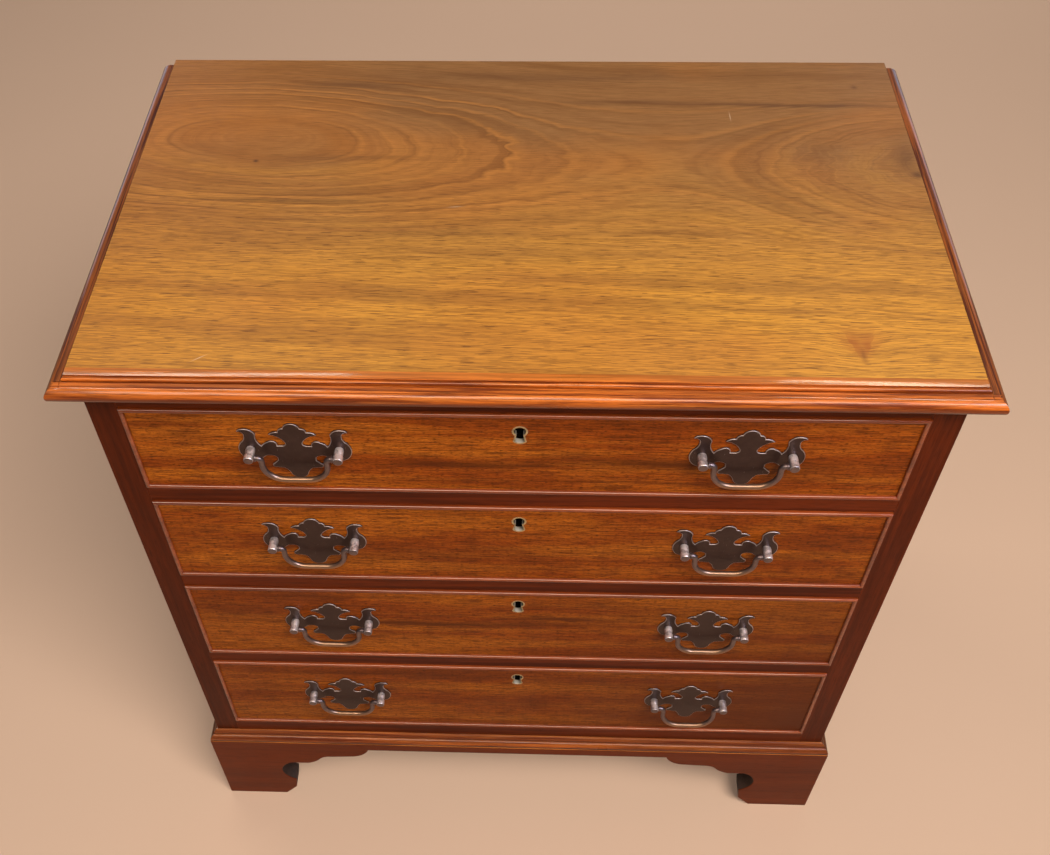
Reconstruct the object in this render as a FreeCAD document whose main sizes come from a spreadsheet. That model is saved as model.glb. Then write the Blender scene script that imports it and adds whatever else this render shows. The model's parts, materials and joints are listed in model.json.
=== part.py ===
"""Bachelor's chest of four graduated drawers on bracket feet.

X runs to the right, Y to the back and Z up. The origin lies on the floor, under the middle of
the top. Every formula below is written in the names of the Sizes sheet, in millimetres.
"""
import FreeCAD, Part
import math
import os

import Sketcher

Vector = FreeCAD.Vector
Rotation = FreeCAD.Rotation
Constraint = Sketcher.Constraint

doc = FreeCAD.newDocument("BachelorsChest")

# ---------------------------------------------------------------- driving sizes

SIZES = {
    # the case
    "top_width": 760,
    "top_depth": 466,
    "overall_height": 780,
    "top_thickness": 20.5,
    "overhang": 20,
    "side_thickness": 26,
    "back_thickness": 8,
    "back_rebate": 10,
    "rail_thickness": 19.5,
    "rail_depth": 63,
    "top_rail_height": 23.5,
    "bottom_rail_height": 39,
    "bottom_rail_thickness": 20,
    "bottom_thickness": 18,
    "housing_depth": 8,
    "tongue_setback": 8,
    "runner_width": 22,
    "stop_width": 40,
    "stop_height": 5,
    "stop_length": 25,
    "stop_inset": 120,
    # the moulded edge of the top, from the nose inwards
    "nose_radius": 7.1,
    "nose_step": 0.4,
    "fillet_width": 4.5,
    "quirk_width": 1,
    "quirk_depth": 0.8,
    "quirk_rise": 0.8,
    "ovolo_width": 2.4,
    "ovolo_height": 2.3,
    "lip_width": 7.5,
    "lip_drop": 0.7,
    # the plinth with its bracket feet, and the moulding on it
    "plinth_height": 143,
    "plinth_thickness": 22,
    "plinth_proud": 10,
    "fascia_height": 15,
    "bracket_length": 190,
    "moulding_height": 16,
    "moulding_lip": 1.2,
    "lower_ovolo_foot": 9.2,
    "lower_ovolo_head": 5.1,
    "lower_ovolo_height": 7.2,
    "upper_ovolo_foot": 4.4,
    "upper_ovolo_head": 1.3,
    "upper_ovolo_height": 6.0,
    "moulding_quirk": 0.9,
    "rear_bracket_length": 120,
    "rear_bracket_foot": 60,
    "rear_bracket_thickness": 18,
    "corner_block_size": 30,
    "corner_block_lift": 3,
    # the drawers; their openings share out the height of the case in these proportions
    "opening_1": 106.5,
    "opening_2": 120,
    "opening_3": 129.5,
    "opening_4": 139.5,
    "side_gap": 0.5,
    "top_gap": 0.8,
    "bottom_gap": 0.5,
    "runner_gap": 0.3,
    "drawer_back_gap": 12,
    "front_thickness": 22,
    "board_thickness": 10,
    "side_drop": 4,
    "back_drop": 6,
    "panel_thickness": 6,
    "groove_depth": 5,
    "groove_height": 8,
    "panel_play": 0.2,
    "tail_length": 12,
    "bead_width": 4,
    "bead_proud": 3,
    "bead_inset": 9,
    # the locks and their keyholes
    "key_drop": 27.5,
    "key_inlay_depth": 5,
    "key_well_depth": 6,
    "lock_width": 50,
    "lock_height": 34,
    "lock_depth": 10,
    "selvedge_width": 64,
    "selvedge_thickness": 2,
    "bolt_width": 20,
    "bolt_thickness": 5,
    "bolt_height": 14,
    "bolt_play": 0.2,
    "bolt_sink": 0.3,
    "bolt_mortise_depth": 9,
    "bolt_mortise_play": 1,
    # the handles
    "handle_offset": 192,
    "plate_rise": 4,
    "plate_width": 97.6,
    "plate_height": 70.6,
    "plate_thickness": 1.6,
    "plate_hole_play": 0.1,
    "post_spacing": 76.2,
    "post_drop": 32.4,
    "post_length": 16.1,
    "post_foot_radius": 3.8,
    "post_belly_radius": 4.2,
    "post_belly_length": 7,
    "post_neck_radius": 3.5,
    "post_neck_length": 1.3,
    "post_head_radius": 4.3,
    "post_round": 1.5,
    "stud_radius": 2.5,
    "nut_thickness": 4,
    "nut_radius": 5,
    "nut_play": 0.05,
    "stud_tip": 1,
    "pivot_proud": 12,
    "pin_radius": 1.5,
    "pin_hole_radius": 1.56,
    "pin_reach": 3.2,
    "pin_end_play": 0.5,
    "shoulder_gap": 0.4,
    "wire_radius": 2.6,
    "collar_radius": 3.3,
    "collar_width": 1.4,
    "bail_spread": 56,
    "bail_drop": 28.3,
    "elbow_radius": 4,
    "bail_corner_radius": 18.5,
    "bail_lean": 11,
}

# cells that follow from the sizes: the height that the openings share, and its ratio to their sum
FORMULAS = {
    "clear_height": (
        "=overall_height - top_thickness - top_rail_height - 3 * rail_thickness"
        " - bottom_rail_height - plinth_height"
    ),
    "opening_ratio": "=clear_height / ( opening_1 + opening_2 + opening_3 + opening_4 )",
}

sheet = doc.addObject("Spreadsheet::Sheet", "Sizes")
for row, (alias, entry) in enumerate((SIZES | FORMULAS).items(), start=1):
    sheet.set(f"A{row}", alias)
    sheet.set(f"B{row}", str(entry))
    sheet.setAlias(f"B{row}", alias)
doc.recompute()


def named(formula):
    """A formula in the sheet's names, with each name given its full address."""
    words = []
    for word in formula.replace("(", "( ").replace(")", " )").split():
        words.append(f"Sizes.{word}" if word in SIZES else word)
    return " ".join(words)


def value(formula):
    """The size in millimetres that a full formula gives now."""
    return float(sheet.evalExpression(formula))


# ---------------------------------------------------------------- planes that pieces share

HALF_WIDTH = named("( top_width / 2 - overhang )")
INNER_HALF = named("( top_width / 2 - overhang - side_thickness )")
FRONT = named("( overhang - top_depth / 2 )")
REAR = named("( top_depth / 2 )")
BACK_FACE = named("( top_depth / 2 - back_thickness )")
TOP_UNDERSIDE = named("( overall_height - top_thickness )")
PLINTH_TOP = named("( plinth_height )")
RAIL_BACK = f"( {FRONT} + Sizes.rail_depth )"
HOUSED_HALF = f"( {INNER_HALF} + Sizes.housing_depth )"
PLINTH_HALF = f"( {HALF_WIDTH} + Sizes.plinth_proud )"
PLINTH_FRONT = f"( {FRONT} - Sizes.plinth_proud )"

# sine and cosine of half a right angle, for the middle of a quarter round
DIAGONAL = 0.707107

DRAWER_COUNT = 4
DRAWERS = range(1, DRAWER_COUNT + 1)
TAIL_COUNTS = {1: 3, 2: 4, 3: 4, 4: 4}
TAIL_SLOPE = "1 / 6"
TAIL_SHARE = 0.37

# the top and the bottom of each drawer opening, from the top of the chest down
OPENING_TOP = {1: f"( {TOP_UNDERSIDE} - Sizes.top_rail_height )"}
OPENING_BOTTOM = {DRAWER_COUNT: f"( {PLINTH_TOP} + Sizes.bottom_rail_height )"}
for number in DRAWERS[:-1]:
    OPENING_BOTTOM[number] = f"( {OPENING_TOP[number]} - Sizes.opening_{number} * Sizes.opening_ratio )"
    OPENING_TOP[number + 1] = f"( {OPENING_BOTTOM[number]} - Sizes.rail_thickness )"

DRAWER_HALF = f"( {INNER_HALF} - Sizes.side_gap )"
FRONT_BACK = f"( {FRONT} + Sizes.front_thickness )"
DRAWER_REAR = f"( {BACK_FACE} - Sizes.drawer_back_gap )"
DRAWER_BACK_INNER = f"( {DRAWER_REAR} - Sizes.board_thickness )"
DRAWER_INNER_HALF = f"( {DRAWER_HALF} - Sizes.board_thickness )"
LOCK_FACE = f"( {FRONT_BACK} - Sizes.lock_depth )"
BOLT_MIDDLE = f"( {FRONT_BACK} - Sizes.lock_depth / 2 )"
BOLT_HALF = "( Sizes.bolt_thickness / 2 )"


def front_low(number):
    """Lower edge of a drawer front, with its bead."""
    return f"( {OPENING_BOTTOM[number]} + Sizes.bottom_gap )"


def front_high(number):
    """Upper edge of a drawer front, with its bead."""
    return f"( {OPENING_TOP[number]} - Sizes.top_gap )"


def side_low(number):
    """Lower edge of a drawer's sides, which slide on the runners."""
    return f"( {OPENING_BOTTOM[number]} + Sizes.runner_gap )"


def side_high(number):
    """Upper edge of a drawer's sides."""
    return f"( {OPENING_TOP[number]} - Sizes.side_drop )"


def groove_low(number):
    """Underside of a drawer's bottom panel, in its groove."""
    return f"( {side_low(number)} + Sizes.groove_height )"


def groove_high(number):
    """Upper face of a drawer's bottom panel, which the drawer back stands on."""
    return f"( {groove_low(number)} + Sizes.panel_thickness )"


def back_high(number):
    """Upper edge of a drawer's back."""
    return f"( {side_high(number)} - Sizes.back_drop )"


def key_height(number):
    """Middle of a drawer's keyhole."""
    return f"( {front_high(number)} - Sizes.key_drop )"


def post_height(number):
    """Height of the axis of a drawer's handle posts, a little above the middle of its front."""
    return f"( ( {OPENING_TOP[number]} + {OPENING_BOTTOM[number]} ) / 2 + Sizes.plate_rise )"


# ---------------------------------------------------------------- modelling helpers

nodes = []


def new_body(label):
    """An empty part body with its own label."""
    body = doc.addObject("PartDesign::Body", label)
    body.Label = label
    return body


def keep(piece):
    """Record a finished sub-part, which gets a file of its own."""
    nodes.append(piece)
    return piece


def group(label, pieces):
    """Like pieces that share one sub-part, as separate solids."""
    bundle = doc.addObject("Part::Compound", label)
    bundle.Label = label
    bundle.Links = pieces
    return keep(bundle)


def board(label, x, y, z):
    """A plain squared board, between two formulas along each axis."""
    box = doc.addObject("Part::Box", label)
    box.Label = label
    for size, axis, (low, high) in (("Length", "x", x), ("Width", "y", y), ("Height", "z", z)):
        box.setExpression(size, f"( {high} ) - ( {low} )")
        box.setExpression(f".Placement.Base.{axis}", low)
    return box


def point(place):
    """The point of a sketch where a pair of formulas puts it now."""
    return Vector(value(place[0]), value(place[1]), 0)


def arc_between(start, through, end):
    """An arc with its start and end marks in the order that the outline runs."""
    circle = Part.Circle(start, through, end)
    centre = circle.Center
    clockwise = (through - start).cross(end - through).z < 0
    first, last = (end, start) if clockwise else (start, end)
    angles = [math.atan2(place.y - centre.y, place.x - centre.x) for place in (first, last)]
    arc = Part.ArcOfCircle(Part.Circle(centre, Vector(0, 0, 1), circle.Radius), *angles)
    return (arc, 2, 1) if clockwise else (arc, 1, 2)


def fixed_point(constraints, formulas, edge, mark, place):
    """Tie a point of an edge to two formulas, measured from the sketch's origin."""
    for kind, formula in zip(("DistanceX", "DistanceY"), place):
        formulas[len(constraints)] = formula
        constraints.append(Constraint(kind, -1, 1, edge, mark, value(formula)))


def draw(drawing, outline, closed=True):
    """Draw corners (x, y) in order; a third item marks a point that an arc runs through."""
    steps = []
    start = outline[0]
    through = None
    for place in outline[1:] + outline[:1] if closed else outline[1:]:
        if len(place) == 3:
            through = place[:2]
        else:
            steps.append((start, through, place))
            start = place
            through = None
    edges = []
    for start, through, end in steps:
        ends = [point(start), point(end)]
        if through is None:
            edges.append((drawing.addGeometry(Part.LineSegment(*ends), False), 1, 2))
        else:
            arc, first, last = arc_between(ends[0], point(through), ends[1])
            edges.append((drawing.addGeometry(arc, False), first, last))
    constraints = []
    formulas = {}
    for index, (start, through, end) in enumerate(steps):
        edge, first, last = edges[index]
        fixed_point(constraints, formulas, edge, first, start)
        if closed or index + 1 < len(edges):
            follower, follower_first, _ = edges[(index + 1) % len(edges)]
            constraints.append(Constraint("Coincident", edge, last, follower, follower_first))
        else:
            fixed_point(constraints, formulas, edge, last, end)
        if through is not None:
            mark = drawing.addGeometry(Part.Point(point(through)), True)
            fixed_point(constraints, formulas, mark, 1, through)
            constraints.append(Constraint("PointOnObject", mark, 1, edge))
    bind(drawing, constraints, formulas)


def draw_circle(drawing, x, y, radius):
    """A circle with its centre and radius tied to formulas."""
    circle = Part.Circle(point((x, y)), Vector(0, 0, 1), value(radius))
    edge = drawing.addGeometry(circle, False)
    constraints = []
    formulas = {}
    fixed_point(constraints, formulas, edge, 3, (x, y))
    formulas[len(constraints)] = radius
    constraints.append(Constraint("Radius", edge, value(radius)))
    bind(drawing, constraints, formulas)


def bind(drawing, constraints, formulas):
    """Add the constraints and tie the sized ones to their formulas."""
    numbers = drawing.addConstraint(constraints)
    for index, formula in formulas.items():
        if "Sizes." in formula:
            drawing.setExpression(f"Constraints[{numbers[index]}]", formula)


def sketch(body, plane, offset, outlines, closed=True):
    """A sketch on an origin plane of the body, moved along the plane's axis to a formula."""
    face = next(each for each in body.Origin.OriginFeatures if each.Role == f"{plane}_Plane")
    drawing = body.newObject("Sketcher::SketchObject", f"{body.Label}_sketch")
    drawing.AttachmentSupport = (face, [""])
    drawing.MapMode = "FlatFace"
    sign = "-" if plane == "XZ" else ""
    drawing.setExpression(".AttachmentOffset.Base.z", f"{sign}( {offset} )")
    for outline in outlines:
        if outline[0] == "circle":
            draw_circle(drawing, *outline[1:])
        else:
            draw(drawing, outline, closed)
    return drawing


def prism(kind, body, plane, low, high, *outlines):
    """Pad or pocket outlines, from a low to a high formula along the plane's axis."""
    drawing = sketch(body, plane, low, outlines)
    feature = body.newObject(f"PartDesign::{kind}", f"{body.Label}_{kind.lower()}")
    feature.Profile = drawing
    feature.setExpression("Length", f"( {high} ) - ( {low} )")
    feature.Reversed = (kind == "Pad") == (plane == "XZ")
    return feature


def rectangle(low_x, high_x, low_y, high_y):
    """Four corners of a rectangle between formulas."""
    return [(low_x, low_y), (high_x, low_y), (high_x, high_y), (low_x, high_y)]


def mirrored(formula, hand):
    """A formula kept for the right hand, or turned over for the left."""
    return formula if hand > 0 else f"-( {formula} )"


def turned(outline, hand):
    """An outline kept for the right hand, or turned over in its first coordinate."""
    return [(mirrored(place[0], hand),) + tuple(place[1:]) for place in outline]


# ---------------------------------------------------------------- top board

def top_edge(outer, inward, worn=False):
    """Moulded edge from the underside up: a bullnose, a fillet, a quirk, an ovolo and a step.

    A worn edge slopes off gently from the flat of the top to the step.
    """
    nose = "Sizes.nose_radius"
    fillet_end = f"( {nose} + Sizes.fillet_width )"
    ovolo_foot = f"( {fillet_end} + Sizes.quirk_width )"
    step = f"( {ovolo_foot} + Sizes.ovolo_width )"
    nose_top = f"( {TOP_UNDERSIDE} + 2 * {nose} )"
    fillet_top = f"( {nose_top} + Sizes.nose_step )"
    ovolo_low = f"( {fillet_top} + Sizes.quirk_rise )"
    ovolo_high = f"( {ovolo_low} + Sizes.ovolo_height )"
    surface = named("( overall_height )")

    def at(depth):
        return f"( {outer} + {inward} * ( {depth} ) )"

    edge = [
        (at(nose), TOP_UNDERSIDE),
        (at("0"), f"( {TOP_UNDERSIDE} + {nose} )", "through"),
        (at(nose), nose_top),
        (at(nose), fillet_top),
        (at(fillet_end), fillet_top),
        (at(fillet_end), f"( {fillet_top} - Sizes.quirk_depth )"),
        (at(ovolo_foot), f"( {fillet_top} - Sizes.quirk_depth )"),
        (at(ovolo_foot), ovolo_low),
        (
            at(f"{step} - {DIAGONAL} * Sizes.ovolo_width"),
            f"( {ovolo_low} + {DIAGONAL} * Sizes.ovolo_height )",
            "through",
        ),
        (at(step), ovolo_high),
    ]
    if worn:
        flat = f"( {step} + Sizes.lip_width )"
        lip = f"( {surface} - Sizes.lip_drop )"
        # halfway along an arc that ends level, a quarter of its drop is left
        middle = (at(f"{step} + Sizes.lip_width / 2"), f"( {surface} - Sizes.lip_drop / 4 )", "through")
        return edge + [(at(step), lip), middle, (at(flat), surface)]
    return edge + [(at(step), surface)]


def make_top():
    """The top: its two ends and its front carry one moulding, mitred at the front corners."""
    body = new_body("top_board")
    right_end = named("( top_width / 2 )")
    left_end = f"-{right_end}"
    section = top_edge(left_end, "1") + top_edge(right_end, "-1")[::-1]
    prism("Pad", body, "XZ", f"-{REAR}", REAR, section)
    waste_low = f"( {TOP_UNDERSIDE} - 1 )"
    waste_high = named("( overall_height + 1 )")
    before = f"( -{REAR} - 1 )"
    edge = top_edge(f"-{REAR}", "1", worn=True)
    waste = [(before, waste_low), (edge[0][0], waste_low)] + edge
    waste += [(edge[-1][0], waste_high), (before, waste_high)]
    prism("Pocket", body, "YZ", f"( {left_end} - 1 )", f"( {right_end} + 1 )", waste)
    keep(body)


# ---------------------------------------------------------------- case

RAIL_LEVELS = [(OPENING_TOP[number + 1], OPENING_BOTTOM[number]) for number in DRAWERS[:-1]]


def make_side(name, hand):
    """A solid side, housed for the rails, runners and bottom, and rebated for the back."""
    body = new_body(name)
    ends = [mirrored(INNER_HALF, hand), mirrored(HALF_WIDTH, hand)]
    outer_low, outer_high = sorted(ends, key=value)
    prism("Pad", body, "YZ", outer_low, outer_high, rectangle(FRONT, REAR, PLINTH_TOP, TOP_UNDERSIDE))
    housing = [mirrored(INNER_HALF, hand), mirrored(HOUSED_HALF, hand)]
    low, high = sorted(housing, key=value)
    start = f"( {FRONT} + Sizes.tongue_setback )"
    foot = (PLINTH_TOP, OPENING_BOTTOM[DRAWER_COUNT])
    levels = [foot] + RAIL_LEVELS + [(OPENING_TOP[1], TOP_UNDERSIDE)]
    housings = [rectangle(start, BACK_FACE, bottom, top) for bottom, top in levels]
    prism("Pocket", body, "YZ", low, high, *housings)
    rebate = [mirrored(INNER_HALF, hand), mirrored(f"( {INNER_HALF} + Sizes.back_rebate )", hand)]
    low, high = sorted(rebate, key=value)
    prism("Pocket", body, "YZ", low, high, rectangle(BACK_FACE, REAR, PLINTH_TOP, TOP_UNDERSIDE))
    return keep(body)


def make_rail(label, low, high, back=RAIL_BACK, mortised=True):
    """A rail between the sides, with a tongue at each end, and a mortise for the bolt under it."""
    body = new_body(label)
    shoulder = f"( {FRONT} + Sizes.tongue_setback )"
    half = [
        (INNER_HALF, FRONT),
        (INNER_HALF, shoulder),
        (HOUSED_HALF, shoulder),
        (HOUSED_HALF, back),
    ]
    prism("Pad", body, "XY", low, high, turned(half, -1) + half[::-1])
    if mortised:
        play = "Sizes.bolt_mortise_play"
        reach = f"( Sizes.bolt_width / 2 + {play} )"
        near = f"( {BOLT_MIDDLE} - {BOLT_HALF} - {play} )"
        far = f"( {BOLT_MIDDLE} + {BOLT_HALF} + {play} )"
        mortise = rectangle(f"-{reach}", reach, near, far)
        prism("Pocket", body, "XY", low, f"( {low} + Sizes.bolt_mortise_depth )", mortise)
    return body


def make_case():
    """Sides, back, rails, bottom board, runners, kickers and drawer stops."""
    make_side("side_left", -1)
    make_side("side_right", 1)
    back_half = f"( {INNER_HALF} + Sizes.back_rebate )"
    back_span = (f"-{back_half}", back_half)
    keep(board("back_panel", back_span, (BACK_FACE, REAR), (PLINTH_TOP, TOP_UNDERSIDE)))
    keep(make_rail("top_rail", OPENING_TOP[1], TOP_UNDERSIDE))
    rails = []
    for number, (low, high) in zip(DRAWERS[1:], RAIL_LEVELS):
        rails.append(make_rail(f"rail_above_drawer_{number}", low, high))
    group("drawer_rails", rails)
    bottom_rail_back = f"( {FRONT} + Sizes.bottom_rail_thickness )"
    lowest = OPENING_BOTTOM[DRAWER_COUNT]
    keep(make_rail("bottom_rail", PLINTH_TOP, lowest, bottom_rail_back, mortised=False))
    bottom_top = f"( {PLINTH_TOP} + Sizes.bottom_thickness )"
    spread = (f"-{HOUSED_HALF}", HOUSED_HALF)
    keep(board("bottom_board", spread, (bottom_rail_back, BACK_FACE), (PLINTH_TOP, bottom_top)))

    strips = []
    levels = [(low, high, RAIL_BACK) for low, high in RAIL_LEVELS]
    levels.append((OPENING_TOP[1], TOP_UNDERSIDE, RAIL_BACK))
    levels.append((bottom_top, lowest, bottom_rail_back))
    inner = f"( {INNER_HALF} - Sizes.runner_width )"
    for low, high, start in levels:
        for x in ((f"-{HOUSED_HALF}", f"-{inner}"), (inner, HOUSED_HALF)):
            strips.append(board("runner", x, (start, BACK_FACE), (low, high)))
    group("drawer_runners", strips)

    stops = []
    stop_front = f"( {FRONT_BACK} + Sizes.runner_gap )"
    stop_back = f"( {stop_front} + Sizes.stop_length )"
    stop_outer = f"( {INNER_HALF} - Sizes.stop_inset )"
    stop_inner = f"( {stop_outer} - Sizes.stop_width )"
    for number in DRAWERS:
        # the lowest drawer has no rail under it, so its stops stand up from the bottom board
        stop_low = bottom_top if number == DRAWER_COUNT else OPENING_BOTTOM[number]
        stop_high = f"( {OPENING_BOTTOM[number]} + Sizes.stop_height )"
        for x in ((f"-{stop_outer}", f"-{stop_inner}"), (stop_inner, stop_outer)):
            stops.append(board("stop", x, (stop_front, stop_back), (stop_low, stop_high)))
    group("drawer_stops", stops)


# ---------------------------------------------------------------- plinth and its moulding

def base_profile(face, outward):
    """Section of the base moulding: a lip, an ovolo, a quirk, a smaller ovolo and a fillet."""
    lip_top = f"( {PLINTH_TOP} + Sizes.moulding_lip )"
    lower_top = f"( {lip_top} + Sizes.lower_ovolo_height )"
    upper_foot = f"( {lower_top} + Sizes.moulding_quirk )"
    upper_top = f"( {upper_foot} + Sizes.upper_ovolo_height )"
    crown = f"( {PLINTH_TOP} + Sizes.moulding_height )"

    def at(proud):
        return f"( {face} + {outward} * ( {proud} ) )"

    def belly(foot, head, low, height):
        across = f"{head} + {DIAGONAL} * ( {foot} - {head} )"
        up = f"( {low} + {DIAGONAL} * {height} )"
        return (at(across), up, "through")

    lower = ("Sizes.lower_ovolo_foot", "Sizes.lower_ovolo_head")
    upper = ("Sizes.upper_ovolo_foot", "Sizes.upper_ovolo_head")
    return [
        (at("0"), PLINTH_TOP),
        (at("Sizes.lower_ovolo_foot - Sizes.moulding_lip"), PLINTH_TOP),
        (at("Sizes.lower_ovolo_foot - Sizes.moulding_lip"), lip_top),
        (at(lower[0]), lip_top),
        belly(*lower, lip_top, "Sizes.lower_ovolo_height"),
        (at(lower[1]), lower_top),
        (at(upper[0]), lower_top),
        (at(upper[0]), upper_foot),
        belly(*upper, upper_foot, "Sizes.upper_ovolo_height"),
        (at(upper[1]), upper_top),
        (at(upper[1]), crown),
        (at("0"), crown),
    ]


def make_base_moulding():
    """Three strips planted round the foot of the case, mitred at the front corners."""
    crown = f"( {PLINTH_TOP} + Sizes.moulding_height )"
    past = PLINTH_HALF
    before = PLINTH_FRONT
    front = new_body("moulding_front")
    prism("Pad", front, "YZ", f"-{past}", past, base_profile(FRONT, "-1"))
    corner = [(HALF_WIDTH, FRONT), (past, FRONT), (past, before)]
    prism("Pocket", front, "XY", PLINTH_TOP, crown, corner, turned(corner, -1))
    strips = [front]
    for name, hand in (("moulding_left", -1), ("moulding_right", 1)):
        strip = new_body(name)
        profile = base_profile(mirrored(HALF_WIDTH, hand), str(hand))
        prism("Pad", strip, "XZ", before, REAR, profile)
        corner = [(HALF_WIDTH, FRONT), (HALF_WIDTH, before), (past, before)]
        prism("Pocket", strip, "XY", PLINTH_TOP, crown, turned(corner, hand))
        strips.append(strip)
    group("base_moulding", strips)


# outline of one bracket from its outer lower corner inwards, drawn 190 long and 128 high
BRACKET_DRAWN = (190, 128)
BRACKET_OUTLINE = [
    (0, 0),
    (73, 0),
    (88, 19),
    (91, 41),
    (76.5, 68, "through"),
    (91, 89),
    (112, 89),
    (121, 93.5, "through"),
    (128, 101),
    (132, 105, "through"),
    (139, 107.5),
    (166, 109.5),
    (181.5, 115, "through"),
    (190, 128),
]


def bracket(edge, inward):
    """The shaped outline of a bracket foot, from an outer edge inwards."""
    outline = []
    for across, up, *through in BRACKET_OUTLINE:
        x = f"( {edge} + {inward} * {across} / {BRACKET_DRAWN[0]} * Sizes.bracket_length )"
        z = f"( {up} / {BRACKET_DRAWN[1]} * ( Sizes.plinth_height - Sizes.fascia_height ) )"
        outline.append((x, z, *through))
    return outline


def plinth_outline(low, high):
    """A plinth board with a bracket foot at each end and a fascia strip between them."""
    return bracket(low, "1") + bracket(high, "-1")[::-1] + [(high, PLINTH_TOP), (low, PLINTH_TOP)]


def make_plinth():
    """Bracket boards at the front and sides, plain brackets behind, and blocks in the corners."""
    inner_half = f"( {PLINTH_HALF} - Sizes.plinth_thickness )"
    inner_front = f"( {PLINTH_FRONT} + Sizes.plinth_thickness )"
    front = new_body("plinth_front")
    face = plinth_outline(f"-{PLINTH_HALF}", PLINTH_HALF)
    prism("Pad", front, "XZ", PLINTH_FRONT, inner_front, face)
    mitre = [(PLINTH_HALF, PLINTH_FRONT), (PLINTH_HALF, inner_front), (inner_half, inner_front)]
    prism("Pocket", front, "XY", "0", PLINTH_TOP, mitre, turned(mitre, -1))
    keep(front)
    for name, hand in (("plinth_left", -1), ("plinth_right", 1)):
        side = new_body(name)
        faces = sorted([mirrored(inner_half, hand), mirrored(PLINTH_HALF, hand)], key=value)
        prism("Pad", side, "YZ", *faces, plinth_outline(PLINTH_FRONT, REAR))
        mitre = [(PLINTH_HALF, PLINTH_FRONT), (inner_half, PLINTH_FRONT), (inner_half, inner_front)]
        prism("Pocket", side, "XY", "0", PLINTH_TOP, turned(mitre, hand))
        keep(side)

    bracket_face = f"( {REAR} - Sizes.rear_bracket_thickness )"
    outline = [
        (inner_half, "0"),
        (inner_half, PLINTH_TOP),
        (f"( {inner_half} - Sizes.rear_bracket_length )", PLINTH_TOP),
        (f"( {inner_half} - Sizes.rear_bracket_length )", f"( {PLINTH_TOP} - Sizes.fascia_height )"),
        (f"( {inner_half} - Sizes.rear_bracket_foot )", "0"),
    ]
    brackets = []
    for name, hand in (("rear_bracket_left", -1), ("rear_bracket_right", 1)):
        piece = new_body(name)
        prism("Pad", piece, "XZ", bracket_face, REAR, turned(outline, hand))
        brackets.append(piece)
    group("rear_brackets", brackets)

    blocks = []
    inner = f"( {inner_half} - Sizes.corner_block_size )"
    fore = (inner_front, f"( {inner_front} + Sizes.corner_block_size )")
    rear = (f"( {bracket_face} - Sizes.corner_block_size )", bracket_face)
    for x in ((f"-{inner_half}", f"-{inner}"), (inner, inner_half)):
        for y in (fore, rear):
            blocks.append(board("corner_block", x, y, ("Sizes.corner_block_lift", PLINTH_TOP)))
    group("corner_blocks", blocks)


# ---------------------------------------------------------------- drawers

def tail_rows(count, low, high, root, tip, length):
    """Corners of each dovetail between two levels, narrow at the root and wide at the tip."""
    rows = []
    for index in range(count):
        middle = f"( {low} + ( {high} - {low} ) * {index + 0.5} / {count} )"
        wide = f"( ( {high} - {low} ) * {TAIL_SHARE} / {count} )"
        narrow = f"( {wide} - {length} * {TAIL_SLOPE} )"
        rows.append([
            (root, f"( {middle} - {narrow} )"),
            (tip, f"( {middle} - {wide} )"),
            (tip, f"( {middle} + {wide} )"),
            (root, f"( {middle} + {narrow} )"),
        ])
    return rows


def front_tails(number):
    """Lapped dovetails that hold a drawer's sides to its front."""
    tip = f"( {FRONT_BACK} - Sizes.tail_length )"
    ends = (side_low(number), side_high(number))
    return tail_rows(TAIL_COUNTS[number], *ends, FRONT_BACK, tip, "Sizes.tail_length")


def back_tails(number):
    """Through dovetails that hold a drawer's sides to its back."""
    ends = (groove_high(number), back_high(number))
    root = DRAWER_BACK_INNER
    return tail_rows(TAIL_COUNTS[number] - 1, *ends, root, DRAWER_REAR, "Sizes.board_thickness")


# keyhole outlines about their middle: an outer one for the brass and an inner one for the hole
KEY_OUTER = [
    (4.4, -0.8),
    (0, 11.3, "through"),
    (-4.4, -0.8),
    (-6, -8.2),
    (0, -11.6, "through"),
    (6, -8.2),
]
KEY_INNER = [
    (2.7, 0.2),
    (0, 9.5, "through"),
    (-2.7, 0.2),
    (-4.2, -8.0),
    (0, -9.9, "through"),
    (4.2, -8.0),
]


def keyhole(shape, number):
    """A keyhole outline at a drawer's key height."""
    return [(f"{x}", f"( {key_height(number)} + {z} )", *through) for x, z, *through in shape]


def post_places(number):
    """Where the four handle posts of a drawer stand."""
    places = []
    for side in (-1, 1):
        for post in (-1, 1):
            x = f"( {side} * Sizes.handle_offset + {post} * Sizes.post_spacing / 2 )"
            places.append((x, post_height(number), post))
    return places


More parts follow.
